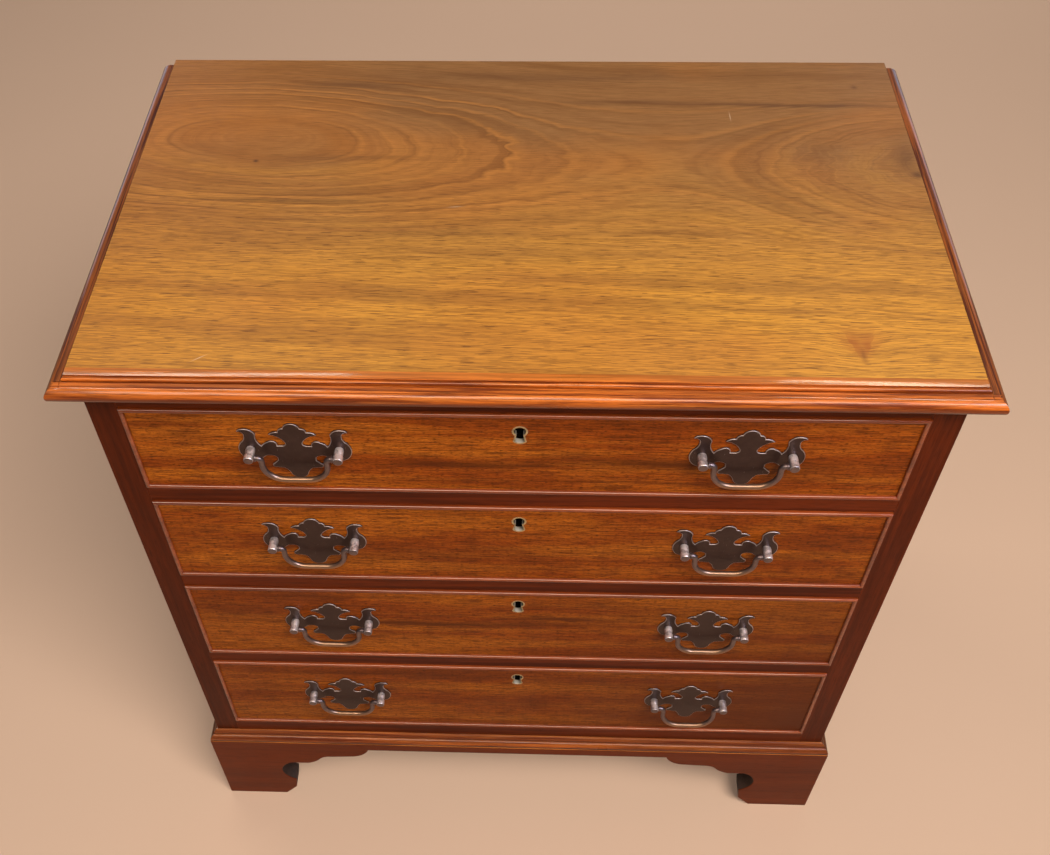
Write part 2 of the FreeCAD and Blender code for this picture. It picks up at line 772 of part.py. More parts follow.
def make_front(number):
    """A drawer front: rebated round its edge, socketed, grooved, and cut for its lock and posts."""
    body = new_body(f"drawer_{number}_front")
    low = front_low(number)
    high = front_high(number)
    leaf = f"( {FRONT} + Sizes.bead_inset )"
    width = "Sizes.bead_width"
    prism("Pad", body, "XZ", leaf, FRONT_BACK, rectangle(f"-{DRAWER_HALF}", DRAWER_HALF, low, high))
    inset = f"( {DRAWER_HALF} - {width} )"
    face = rectangle(f"-{inset}", inset, f"( {low} + {width} )", f"( {high} - {width} )")
    prism("Pad", body, "XZ", FRONT, leaf, face)
    sockets = front_tails(number)
    prism("Pocket", body, "YZ", f"-{DRAWER_HALF}", f"-{DRAWER_INNER_HALF}", *sockets)
    prism("Pocket", body, "YZ", DRAWER_INNER_HALF, DRAWER_HALF, *sockets)
    groove_start = f"( {FRONT_BACK} - Sizes.groove_depth )"
    groove = rectangle(groove_start, FRONT_BACK, groove_low(number), groove_high(number))
    prism("Pocket", body, "YZ", f"-{DRAWER_INNER_HALF}", DRAWER_INNER_HALF, groove)
    selvedge_low = f"( {high} - Sizes.selvedge_thickness )"
    case_low = f"( {selvedge_low} - Sizes.lock_height )"
    case_half = "( Sizes.lock_width / 2 )"
    selvedge_half = "( Sizes.selvedge_width / 2 )"
    recess = [
        (f"-{case_half}", case_low),
        (case_half, case_low),
        (case_half, selvedge_low),
        (selvedge_half, selvedge_low),
        (selvedge_half, high),
        (f"-{selvedge_half}", high),
        (f"-{selvedge_half}", selvedge_low),
        (f"-{case_half}", selvedge_low),
    ]
    prism("Pocket", body, "XZ", LOCK_FACE, FRONT_BACK, recess)
    inlay = f"( {FRONT} + Sizes.key_inlay_depth )"
    prism("Pocket", body, "XZ", FRONT, inlay, keyhole(KEY_OUTER, number))
    prism("Pocket", body, "XZ", inlay, LOCK_FACE, keyhole(KEY_INNER, number))
    bore = named("( stud_radius + plate_hole_play )")
    holes = [("circle", x, z, bore) for x, z, _ in post_places(number)]
    prism("Pocket", body, "XZ", FRONT, FRONT_BACK, *holes)
    keep(body)


def make_sides(number):
    """A drawer's two sides, with dovetails at both ends and a groove for the bottom panel."""
    low = side_low(number)
    high = side_high(number)
    outline = [(FRONT_BACK, low), (DRAWER_REAR, low), (DRAWER_REAR, groove_high(number))]
    outline.append((DRAWER_BACK_INNER, groove_high(number)))
    for row in back_tails(number):
        outline.extend(row)
    outline.append((DRAWER_BACK_INNER, back_high(number)))
    outline.append((DRAWER_REAR, back_high(number)))
    outline.append((DRAWER_REAR, high))
    outline.append((FRONT_BACK, high))
    for row in front_tails(number)[::-1]:
        outline.extend(row[::-1])
    groove_front = f"( {FRONT_BACK} - Sizes.tail_length )"
    groove = rectangle(groove_front, DRAWER_REAR, groove_low(number), groove_high(number))
    sides = []
    for name, hand in (("left", -1), ("right", 1)):
        body = new_body(f"drawer_{number}_side_{name}")
        faces = sorted([mirrored(DRAWER_INNER_HALF, hand), mirrored(DRAWER_HALF, hand)], key=value)
        prism("Pad", body, "YZ", *faces, outline)
        depth = mirrored(f"( {DRAWER_INNER_HALF} + Sizes.groove_depth )", hand)
        faces = sorted([mirrored(DRAWER_INNER_HALF, hand), depth], key=value)
        prism("Pocket", body, "YZ", *faces, groove)
        sides.append(body)
    group(f"drawer_{number}_sides", sides)


def make_back(number):
    """A drawer's back, standing on the bottom panel between the sides' through dovetails."""
    body = new_body(f"drawer_{number}_back")
    face = rectangle(f"-{DRAWER_HALF}", DRAWER_HALF, groove_high(number), back_high(number))
    prism("Pad", body, "XZ", DRAWER_BACK_INNER, DRAWER_REAR, face)
    tails = back_tails(number)
    prism("Pocket", body, "YZ", f"-{DRAWER_HALF}", f"-{DRAWER_INNER_HALF}", *tails)
    prism("Pocket", body, "YZ", DRAWER_INNER_HALF, DRAWER_HALF, *tails)
    keep(body)


def make_bottom(number):
    """A drawer's bottom panel, held in grooves on three sides and passing under the back."""
    reach = f"( {DRAWER_INNER_HALF} + Sizes.groove_depth - Sizes.panel_play )"
    front = f"( {FRONT_BACK} - Sizes.groove_depth + Sizes.panel_play )"
    span = (groove_low(number), groove_high(number))
    keep(board(f"drawer_{number}_bottom", (f"-{reach}", reach), (front, DRAWER_REAR), span))


def bead_section(edge, inside):
    """Section of a cock bead with a half-round nose: distances across it, then along Y."""
    seat = f"( {FRONT} + Sizes.bead_inset )"
    nose = f"( {FRONT} - Sizes.bead_proud )"
    spring = f"( {nose} + Sizes.bead_width / 2 )"
    middle = f"( ( {edge} + {inside} ) / 2 )"
    return [(edge, seat), (edge, spring), (middle, nose, "through"), (inside, spring), (inside, seat)]


def make_beads(number):
    """Four strips of cock bead round a drawer front, mitred where they meet."""
    low = front_low(number)
    high = front_high(number)
    inner_low = f"( {low} + Sizes.bead_width )"
    inner_high = f"( {high} - Sizes.bead_width )"
    inner = f"( {DRAWER_HALF} - Sizes.bead_width )"
    proud = f"( {FRONT} - Sizes.bead_proud )"
    seat = f"( {FRONT} + Sizes.bead_inset )"
    strips = []
    for name, edge, inside in (("top", high, inner_high), ("foot", low, inner_low)):
        strip = new_body(f"bead_{number}_{name}")
        section = [(y, z, *through) for z, y, *through in bead_section(edge, inside)]
        prism("Pad", strip, "YZ", f"-{DRAWER_HALF}", DRAWER_HALF, section)
        mitre = [(DRAWER_HALF, edge), (DRAWER_HALF, inside), (inner, inside)]
        prism("Pocket", strip, "XZ", proud, seat, mitre, turned(mitre, -1))
        strips.append(strip)
    for name, hand in (("left", -1), ("right", 1)):
        strip = new_body(f"bead_{number}_{name}")
        section = bead_section(mirrored(DRAWER_HALF, hand), mirrored(inner, hand))
        prism("Pad", strip, "XY", low, high, section)
        upper = [(DRAWER_HALF, high), (inner, high), (inner, inner_high)]
        lower = [(DRAWER_HALF, low), (inner, low), (inner, inner_low)]
        prism("Pocket", strip, "XZ", proud, seat, turned(upper, hand), turned(lower, hand))
        strips.append(strip)
    group(f"drawer_{number}_cock_beads", strips)


# ---------------------------------------------------------------- locks

def make_lock(number):
    """A brass lock let into the front from behind, with its keyhole lining let in from before."""
    high = front_high(number)
    selvedge_low = f"( {high} - Sizes.selvedge_thickness )"
    case_low = f"( {selvedge_low} - Sizes.lock_height )"
    case_half = "( Sizes.lock_width / 2 )"
    selvedge_half = "( Sizes.selvedge_width / 2 )"
    case = new_body(f"lock_case_{number}")
    box = rectangle(f"-{case_half}", case_half, case_low, selvedge_low)
    prism("Pad", case, "XZ", LOCK_FACE, FRONT_BACK, box)
    selvedge = rectangle(f"-{selvedge_half}", selvedge_half, selvedge_low, high)
    prism("Pad", case, "XZ", LOCK_FACE, FRONT_BACK, selvedge)
    play = "Sizes.bolt_play"
    slot_half = f"( Sizes.bolt_width / 2 + {play} )"
    slot_y = [f"( {BOLT_MIDDLE} {sign} ( {BOLT_HALF} + {play} ) )" for sign in ("-", "+")]
    slot_low = f"( {high} - Sizes.bolt_sink - Sizes.bolt_height - {play} )"
    prism("Pocket", case, "XY", slot_low, high, rectangle(f"-{slot_half}", slot_half, *slot_y))
    well = f"( {LOCK_FACE} + Sizes.key_well_depth )"
    prism("Pocket", case, "XZ", LOCK_FACE, well, keyhole(KEY_INNER, number))
    lining = new_body(f"key_lining_{number}")
    inlay = f"( {FRONT} + Sizes.key_inlay_depth )"
    prism("Pad", lining, "XZ", FRONT, inlay, keyhole(KEY_OUTER, number))
    prism("Pocket", lining, "XZ", FRONT, inlay, keyhole(KEY_INNER, number))
    group(f"drawer_{number}_lock", [case, lining])

    bolt_top = f"( {high} - Sizes.bolt_sink )"
    bolt_x = ("-( Sizes.bolt_width / 2 )", "( Sizes.bolt_width / 2 )")
    bolt_y = (f"( {BOLT_MIDDLE} - {BOLT_HALF} )", f"( {BOLT_MIDDLE} + {BOLT_HALF} )")
    bolt_z = (f"( {bolt_top} - Sizes.bolt_height )", bolt_top)
    keep(board(f"drawer_{number}_lock_bolt", bolt_x, bolt_y, bolt_z))


# ---------------------------------------------------------------- handles

# right half of a back plate from its crown down, drawn 97.6 wide and 70.6 high
PLATE_DRAWN = (97.6, 70.6)
PLATE_OUTLINE = [
    (0, 0),
    (5.3, 2.2, "through"),
    (7.4, 6.0),
    (10.8, 7.4, "through"),
    (12.2, 10.8),
    (16.8, 11.4, "through"),
    (20.4, 14.2),
    (12.6, 17.4, "through"),
    (7.5, 24.2),
    (8.5, 27.7, "through"),
    (11.0, 28.5),
    (14.8, 28.5),
    (17.8, 22.7, "through"),
    (22.6, 23.8),
    (26.0, 25.9, "through"),
    (28.4, 29.0),
    (31.6, 22.8, "through"),
    (31.6, 14.2),
    (36.0, 8.6, "through"),
    (43.2, 7.8),
    (45.9, 8.9, "through"),
    (47.0, 10.8),
    (43.4, 11.6, "through"),
    (41.8, 16.0),
    (42.6, 20.6, "through"),
    (45.4, 24.4),
    (48.8, 34.6, "through"),
    (44.8, 44.4),
    (36.6, 47.2, "through"),
    (28.2, 43.8),
    (22.0, 40.8, "through"),
    (16.8, 43.6),
    (16.6, 47.6),
    (20.4, 51.6),
    (22.2, 54.8, "through"),
    (18.6, 56.8),
    (12.4, 57.6),
    (9.4, 61.0, "through"),
    (7.6, 65.4),
    (4.6, 69.4, "through"),
    (0, 70.6),
]


def make_plate():
    """Pattern for the back plates: a bat's-wing outline with two stud holes."""
    body = new_body("back_plate")
    outline = []
    for across, down, *through in PLATE_OUTLINE:
        x = f"( {across} / {PLATE_DRAWN[0]} * Sizes.plate_width )"
        z = f"( Sizes.post_drop - {down} / {PLATE_DRAWN[1]} * Sizes.plate_height )"
        outline.append((x, z, *through))
    whole = outline + turned(outline[1:-1], -1)[::-1]
    bore = named("( stud_radius + plate_hole_play )")
    holes = [("circle", f"( {side} * Sizes.post_spacing / 2 )", "0", bore) for side in (-1, 1)]
    prism("Pad", body, "XZ", "-Sizes.plate_thickness", "0", whole, *holes)
    return body


def make_post():
    """Pattern for a post: turned with a belly, a neck and a head that the bail enters, and a stud."""
    body = new_body("handle_post")
    seat = "-Sizes.plate_thickness"
    belly_middle = f"( {seat} - Sizes.post_belly_length / 2 )"
    belly_end = f"( {seat} - Sizes.post_belly_length )"
    head = f"( {belly_end} - Sizes.post_neck_length )"
    end = "-Sizes.post_length"
    rim = f"( {end} + Sizes.post_round )"
    flat = "( Sizes.post_head_radius - Sizes.post_round )"
    tail = named("( front_thickness + nut_thickness + stud_tip )")
    outline = [
        ("0", tail),
        ("Sizes.stud_radius", tail),
        ("Sizes.stud_radius", seat),
        ("Sizes.post_foot_radius", seat),
        ("Sizes.post_belly_radius", belly_middle, "through"),
        ("Sizes.post_foot_radius", belly_end),
        ("Sizes.post_neck_radius", belly_end),
        ("Sizes.post_neck_radius", head),
        ("Sizes.post_head_radius", head),
        ("Sizes.post_head_radius", rim),
        (
            f"( {flat} + {DIAGONAL} * Sizes.post_round )",
            f"( {rim} - {DIAGONAL} * Sizes.post_round )",
            "through",
        ),
        (flat, end),
        ("0", end),
    ]
    drawing = sketch(body, "XY", "0", [outline])
    turning = body.newObject("PartDesign::Revolution", "post_turning")
    turning.Profile = drawing
    turning.ReferenceAxis = (drawing, ["V_Axis"])
    turning.Angle = 360
    body.Tip = turning
    doc.recompute()
    hole = ("circle", "-Sizes.pivot_proud", "0", "Sizes.pin_hole_radius")
    mouth = "( -Sizes.post_head_radius - 1 )"
    bottom = named("( pin_reach + pin_end_play - post_head_radius )")
    prism("Pocket", body, "YZ", mouth, bottom, hole)
    return body


def make_nut():
    """Pattern for the hexagon nut that draws a post tight from inside the drawer."""
    body = new_body("post_nut")
    corners = []
    for step in range(6):
        angle = math.radians(60 * step)
        along = [f"( {turn:.6f} * Sizes.nut_radius )" for turn in (math.cos(angle), math.sin(angle))]
        corners.append(tuple(along))
    bore = ("circle", "0", "0", named("( stud_radius + nut_play )"))
    seat = "Sizes.front_thickness"
    prism("Pad", body, "XZ", seat, f"( {seat} + Sizes.nut_thickness )", corners, bore)
    return body


def make_bail():
    """Pattern for a bail: a wire hoop with elbows, and a collar and a pin at each end."""
    body = new_body("bail")
    shoulder = named("( post_spacing / 2 - post_head_radius - shoulder_gap )")
    limb = named("( bail_spread / 2 )")
    elbow = "Sizes.elbow_radius"
    bend = f"( {limb} + {elbow} )"
    corner = "Sizes.bail_corner_radius"
    drop = "-Sizes.bail_drop"
    half = [
        (shoulder, "0"),
        (bend, "0"),
        (f"( {bend} - {DIAGONAL} * {elbow} )", f"( {DIAGONAL} * {elbow} - {elbow} )", "through"),
        (limb, f"-{elbow}"),
        (limb, f"( {drop} + {corner} )"),
        (
            f"( {limb} - {corner} + {DIAGONAL} * {corner} )",
            f"( {drop} + {corner} - {DIAGONAL} * {corner} )",
            "through",
        ),
        (f"( {limb} - {corner} )", drop),
    ]
    path = sketch(body, "XZ", "0", [half + turned(half, -1)[::-1]], closed=False)
    ring = sketch(body, "YZ", shoulder, [("circle", "0", "0", "Sizes.wire_radius")])
    hoop = body.newObject("PartDesign::AdditivePipe", "bail_hoop")
    hoop.Profile = ring
    hoop.Spine = (path, [])
    body.Tip = hoop
    doc.recompute()
    collar = ("circle", "0", "0", "Sizes.collar_radius")
    collar_inner = f"( {shoulder} - Sizes.collar_width )"
    prism("Pad", body, "YZ", collar_inner, shoulder, collar)
    prism("Pad", body, "YZ", f"-{shoulder}", f"-{collar_inner}", collar)
    pin_end = named("( post_spacing / 2 - post_head_radius + pin_reach )")
    pin = ("circle", "0", "0", "Sizes.pin_radius")
    prism("Pad", body, "YZ", collar_inner, pin_end, pin)
    prism("Pad", body, "YZ", f"-{pin_end}", f"-{collar_inner}", pin)
    return body


def copy_of(pattern, x, y, z, turn=Rotation(), lean=None):
    """A copy of a pattern piece at a place, turned, or leaning about the X axis."""
    link = doc.addObject("App::Link", f"{pattern.Label}_copy")
    link.LinkedObject = pattern
    axis = Vector(1, 0, 0)
    link.Placement = FreeCAD.Placement(Vector(0, 0, 0), Rotation(axis, 1) if lean else turn)
    if lean:
        link.setExpression(".Placement.Rotation.Angle", lean)
    for name, formula in (("x", x), ("y", y), ("z", z)):
        link.setExpression(f".Placement.Base.{name}", formula)
    return link


def make_handles(number, plate, post, nut, bail):
    """Both handles of a drawer: plates, posts with their nuts, and the two hanging bails."""
    height = post_height(number)
    sides = (("left", "-Sizes.handle_offset"), ("right", "Sizes.handle_offset"))
    group(f"drawer_{number}_back_plates", [copy_of(plate, x, FRONT, height) for _, x in sides])
    facing = {1: Rotation(), -1: Rotation(Vector(0, 1, 0), 180)}
    fittings = []
    for x, z, side in post_places(number):
        fittings.append(copy_of(post, x, FRONT, z, facing[side]))
        fittings.append(copy_of(nut, x, FRONT, z))
    group(f"drawer_{number}_posts", fittings)
    pivot = f"( {FRONT} - Sizes.pivot_proud )"
    for name, x in sides:
        # one bail of the lowest drawer stands a little forward of plumb
        lean = "-Sizes.bail_lean" if (number, name) == (DRAWER_COUNT, "right") else None
        group(f"drawer_{number}_bail_{name}", [copy_of(bail, x, pivot, height, lean=lean)])


# ---------------------------------------------------------------- the whole chest

def check_document():
    """Stop on any failed object or any sub-part without a sound solid."""
    doc.recompute()
    for each in doc.Objects:
        if "Invalid" in each.State or "Error" in each.State:
            raise RuntimeError(f"{each.Label} did not compute: {each.State}")
    for piece in nodes:
        if piece.Shape.isNull() or not piece.Shape.isValid() or not piece.Shape.Solids:
            raise RuntimeError(f"{piece.Label} has no sound solid")


def main():
    make_top()
    make_case()
    make_base_moulding()
    make_plinth()
    patterns = (make_plate(), make_post(), make_nut(), make_bail())
    for number in DRAWERS:
        make_front(number)
        make_sides(number)
        make_back(number)
        make_bottom(number)
        make_beads(number)
        make_lock(number)
        make_handles(number, *patterns)
    check_document()
    os.makedirs("parts", exist_ok=True)
    for piece in nodes:
        piece.Shape.exportStep(os.path.join("parts", f"{piece.Label}.step"))
    print(f"{len(nodes)} sub-parts, {sum(len(piece.Shape.Solids) for piece in nodes)} solids")


main()
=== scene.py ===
"""Looks for a bachelor's chest of four drawers: polished woods, brass handles and a plain stage."""
import json
import math

import bmesh
import bpy
from bpy.props import FloatProperty, FloatVectorProperty, PointerProperty
from mathutils import Matrix, Vector


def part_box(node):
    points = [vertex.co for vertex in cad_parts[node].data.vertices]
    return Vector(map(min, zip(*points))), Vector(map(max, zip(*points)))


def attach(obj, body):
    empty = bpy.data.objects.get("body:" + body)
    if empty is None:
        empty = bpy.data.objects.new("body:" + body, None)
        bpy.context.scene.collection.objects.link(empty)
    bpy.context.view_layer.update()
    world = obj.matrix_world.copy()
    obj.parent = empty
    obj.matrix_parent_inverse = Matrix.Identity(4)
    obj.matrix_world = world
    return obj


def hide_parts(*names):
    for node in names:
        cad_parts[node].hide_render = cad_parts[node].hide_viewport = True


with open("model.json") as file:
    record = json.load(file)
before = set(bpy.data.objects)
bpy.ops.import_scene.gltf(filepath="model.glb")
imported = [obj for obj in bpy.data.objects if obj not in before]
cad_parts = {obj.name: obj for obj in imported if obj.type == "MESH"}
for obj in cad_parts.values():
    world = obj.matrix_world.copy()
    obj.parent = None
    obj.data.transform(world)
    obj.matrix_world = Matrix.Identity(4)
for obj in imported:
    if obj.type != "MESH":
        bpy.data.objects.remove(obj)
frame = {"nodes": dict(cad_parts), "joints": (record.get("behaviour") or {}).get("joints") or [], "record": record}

bl_info = {
    "name": "Bachelor's chest",
    "version": (1, 0, 0),
    "blender": (4, 5, 0),
    "location": "View3D > Sidebar > Chest",
    "description": "Dresses a chest of drawers in polished wood and worn brass",
    "category": "Object",
}

DRAWERS = (1, 2, 3, 4)
NODES = frame["nodes"]
HINGES = {joint["child"]: joint for joint in frame["joints"] if joint["type"] == "hinge"}
BODY_OF = {node: body for body, group in frame["record"]["behaviour"]["bodies"].items() for node in group}

# the axis that the grain of a board runs along
ALONG_X, ALONG_Y, ALONG_Z = 0, 1, 2


# ---- sizes and colours

def colour(name, description, default):
    """A colour property, as linear red, green and blue."""
    return FloatVectorProperty(
        name=name, description=description, default=default, subtype="COLOR", size=3, min=0, max=1
    )


def length(name, description, default):
    """A length property, in metres."""
    return FloatProperty(name=name, description=description, default=default, unit="LENGTH", min=0)


class WoodSettings(bpy.types.PropertyGroup):
    arris: length("Arris", "Width of the rounding worn on the edges of the boards", 0.0006)
    # the change from gold at the front to brown at the back is partly painted light
    top_gold: colour("Top, golden", "Golden wood towards the front of the top", (0.69, 0.305, 0.040))
    top_brown: colour("Top, brown", "Browner wood round the ovals of the top", (0.325, 0.148, 0.050))
    top_dark: colour("Top, dark", "Dark lines in the top", (0.17, 0.060, 0.014))
    front_pale: colour("Fronts, pale", "Paler streaks of the drawer fronts", (0.625, 0.162, 0.012))
    front_mid: colour("Fronts", "Drawer fronts", (0.385, 0.069, 0.004))
    front_dark: colour("Fronts, dark", "Dark streaks of the drawer fronts", (0.085, 0.015, 0.002))
    case_pale: colour("Case, pale", "Paler grain of the case", (0.150, 0.021, 0.003))
    case_dark: colour("Case, dark", "Darker grain of the case", (0.070, 0.009, 0.0015))
    plinth_pale: colour("Plinth, pale", "Paler grain of the plinth", (0.205, 0.029, 0.003))
    plinth_dark: colour("Plinth, dark", "Darker grain of the plinth", (0.105, 0.014, 0.002))
    edge_pale: colour("Mouldings, pale", "Paler grain of the mouldings", (0.70, 0.152, 0.015))
    edge_dark: colour("Mouldings, dark", "Darker grain of the mouldings", (0.13, 0.018, 0.003))
    # this colour is both rubbed wear and the painted highlight on mouldings and arrises that face up
    edge_worn_and_highlit: colour("Mouldings, worn", "Edges of the mouldings, rubbed bare", (0.64, 0.20, 0.034))
    lining_pale: colour("Linings, pale", "Bare wood inside the drawers", (0.55, 0.37, 0.20))
    lining_dark: colour("Linings, dark", "Grain of the bare wood", (0.33, 0.20, 0.10))


class BrassSettings(bpy.types.PropertyGroup):
    plate_rim: length("Plate rim", "Width of the rounded rim of the back plates", 0.0006)
    wire: length("Wire", "Radius of the bail wire", 0.0026)
    drop: length("Drop", "Height of a bail below its pivot", 0.0283)
    limb: length("Limb", "Half the distance between the limbs of a bail", 0.028)
    corner: length("Corner", "Radius of the two lower corners of a bail", 0.0185)
    elbow: length("Elbow", "Radius of the two elbows of a bail", 0.004)
    shoulder: length("Shoulder", "Where a collar stands, from the middle of the bail", 0.0334)
    plate: colour("Plates", "Dark patina of the back plates", (0.043, 0.022, 0.019))
    handle: colour("Handles", "Aged metal of posts and bails", (0.21, 0.162, 0.162))
    worn: colour("Worn brass", "Brass where hands have rubbed it", (0.46, 0.26, 0.14))
    # the posts' silver is both wear and a painted highlight on their upper faces
    post: colour("Posts", "Silvery worn metal of the posts", (0.80, 0.68, 0.66))
    lock: colour("Locks", "Brass of the locks and keyholes", (0.60, 0.46, 0.24))
    bolt: colour("Bolts", "Steel of the lock bolts", (0.42, 0.41, 0.40))


class StageSettings(bpy.types.PropertyGroup):
    floor: colour("Floor", "Pale floor", (0.68, 0.46, 0.33))
    floor_mottle: colour("Floor, mottled", "Second tone of the floor", (0.63, 0.42, 0.295))
    bounce: colour("Bounce", "Floor colour that the chest is lit by from below", (0.16, 0.11, 0.075))
    backdrop: colour("Backdrop", "Pale backdrop beyond the floor", (0.52, 0.41, 0.34))
    lens: FloatProperty(name="Lens", description="Focal length of the camera in mm", default=40.505)


# ---- materials

class Finish:
    """One material and short ways to add its nodes."""

    def __init__(self, name):
        self.material = bpy.data.materials.new(name)
        self.material.use_nodes = True
        self.tree = self.material.node_tree
        self.tree.nodes.clear()

    def feed(self, socket, source):
        if isinstance(source, bpy.types.NodeSocket):
            self.tree.links.new(source, socket)
        else:
            socket.default_value = source

    def add(self, kind, sockets, **settings):
        node = self.tree.nodes.new(kind)
        for key, setting in settings.items():
            setattr(node, key, setting)
        for name, source in sockets.items():
            self.feed(node.inputs[name], source)
        return node

    def math(self, operation, *operands):
        node = self.add("ShaderNodeMath", dict(enumerate(operands)), operation=operation)
        return node.outputs[0]

    def times(self, first, second):
        return self.math("MULTIPLY", first, second)

    def plus(self, first, second):
        return self.math("ADD", first, second)

    def minus(self, first, second):
        return self.math("SUBTRACT", first, second)

    def place(self):
        return self.add("ShaderNodeTexCoord", {}).outputs["Object"]

    def parts(self, vector):
        return self.add("ShaderNodeSeparateXYZ", {"Vector": vector}).outputs

    def join(self, x, y, z):
        return self.add("ShaderNodeCombineXYZ", {"X": x, "Y": y, "Z": z}).outputs[0]

    def noise(self, vector, detail=2.0, roughness=0.5):
        sockets = {"Vector": vector, "Scale": 1.0, "Detail": detail, "Roughness": roughness}
        return self.add("ShaderNodeTexNoise", sockets).outputs["Fac"]

    def stretch(self, vector, x, y, z, seed=0.0):
        sockets = {0: vector, 1: (x, y, z), 2: (seed, seed, seed)}
        return self.add("ShaderNodeVectorMath", sockets, operation="MULTIPLY_ADD").outputs[0]

    def cells(self, vector, x, y, z, seed=0.0, detail=2.0, roughness=0.5):
        """Noise that has that many cells to the metre along each axis."""
        return self.noise(self.stretch(vector, x, y, z, seed), detail, roughness)

    def shift(self, noise, reach):
        """A noise turned into a move to either side of nothing."""
        return self.times(self.minus(noise, 0.5), reach)

    def facing(self):
        """The three parts of the direction that the surface faces."""
        return self.parts(self.add("ShaderNodeNewGeometry", {}).outputs["Normal"])

    def mark(self, name):
        """How strongly the mesh is marked with that name there."""
        return self.add("ShaderNodeAttribute", {}, attribute_name=name).outputs["Fac"]

    def span(self, source, low, high, new_low=0.0, new_high=1.0, smooth=False):
        sockets = {"Value": source, "From Min": low, "From Max": high, "To Min": new_low, "To Max": new_high}
        kind = "SMOOTHSTEP" if smooth else "LINEAR"
        return self.add("ShaderNodeMapRange", sockets, interpolation_type=kind).outputs["Result"]

    def blend(self, share, first, second):
        node = self.add("ShaderNodeMix", {0: share}, data_type="RGBA")
        self.feed(node.inputs[6], first)
        self.feed(node.inputs[7], second)
        return node.outputs[2]

    def spot(self, x, y, at, reach):
        """A soft oval patch, 1 in its middle and 0 away from it."""
        across = self.math("DIVIDE", self.minus(x, at[0]), reach[0])
        along = self.math("DIVIDE", self.minus(y, at[1]), reach[1])
        square = self.plus(self.times(across, across), self.times(along, along))
        return self.math("EXPONENT", self.times(square, -1.0))

    def bump(self, height, distance, strength=1.0, under=None):
        sockets = {"Height": height, "Distance": distance, "Strength": strength}
        if under is not None:
            sockets["Normal"] = under
        return self.add("ShaderNodeBump", sockets).outputs["Normal"]

    def finish(self, base, roughness, **sockets):
        named = {"Base Color": base, "Roughness": roughness}
        for key, source in sockets.items():
            named[key.replace("_", " ")] = source
        shader = self.add("ShaderNodeBsdfPrincipled", named)
        self.add("ShaderNodeOutputMaterial", {"Surface": shader.outputs[0]})
        return self.material


def opaque(rgb, red=1.0, green=1.0, blue=1.0):
    """A colour as four numbers, with its red, green and blue each times a factor."""
    return (rgb[0] * red, rgb[1] * green, rgb[2] * blue, 1.0)


def along_grain(finish, axis):
    """Object coordinates turned so that the first runs along the grain."""
    x, y, z = finish.parts(finish.place())
    return finish.join(*{ALONG_X: (x, y, z), ALONG_Y: (y, x, z), ALONG_Z: (z, x, y)}[axis])


def grain(finish, grained, seed, wave=0.006):
    """Three shares of streaks, from broad to fine, that run along the first coordinate."""
    drift = finish.cells(grained, 3.0, 9.0, 9.0, seed, detail=3)
    sway = finish.shift(drift, wave)
    shifted = finish.add(
        "ShaderNodeVectorMath", {0: grained, 1: finish.join(0.0, sway, sway)}, operation="ADD"
    ).outputs[0]
    broad = finish.cells(shifted, 2.2, 42.0, 42.0, seed, detail=3, roughness=0.55)
    medium = finish.cells(shifted, 7.0, 230.0, 230.0, seed, detail=3, roughness=0.6)
    pores = finish.cells(shifted, 60.0, 1500.0, 1500.0, seed)
    return broad, medium, pores


def polish(finish, base, height, coat, haze=0.14, roughness=0.34, gloss=0.22, index=1.5, lively=False):
    """French polish over a colour: a soft gloss that follows the grain a little, or more if lively.

    The coat is the weight of the clear layer, haze its roughness and index how strongly it mirrors;
    roughness and gloss belong to the wood under it.
    """
    uneven = finish.cells(finish.place(), 14.0, 14.0, 14.0)
    dull = finish.span(uneven, 0.3, 0.7, roughness - 0.05, roughness + 0.06)
    lumps = finish.bump(uneven, 0.0009, 0.35)
    normal = finish.bump(height, 0.00012, 0.6, under=lumps)
    return finish.finish(
        base, dull, Normal=normal, Coat_Weight=coat, Coat_Roughness=haze, Coat_IOR=index,
        Coat_Normal=normal if lively else lumps, Specular_IOR_Level=gloss,
    )


def worn_and_highlit_arris(finish, grained, low, high, lit_from_above=False):
    """How far the polish is rubbed off the rounded edges, patchily; kept to the upward edges above the feet, it is
    also a painted highlight.
    """
    patchy = finish.span(grained, 0.38, 0.60, low, high)
    # painted highlight: only the rounded edges that face up, above the feet
    if lit_from_above:
        above_feet = finish.math("GREATER_THAN", finish.parts(finish.place())[2], 0.10)
        patchy = finish.times(patchy, finish.span(finish.facing()[2], 0.15, 0.45))
        patchy = finish.times(patchy, above_feet)
    return finish.times(finish.mark("arris"), patchy)


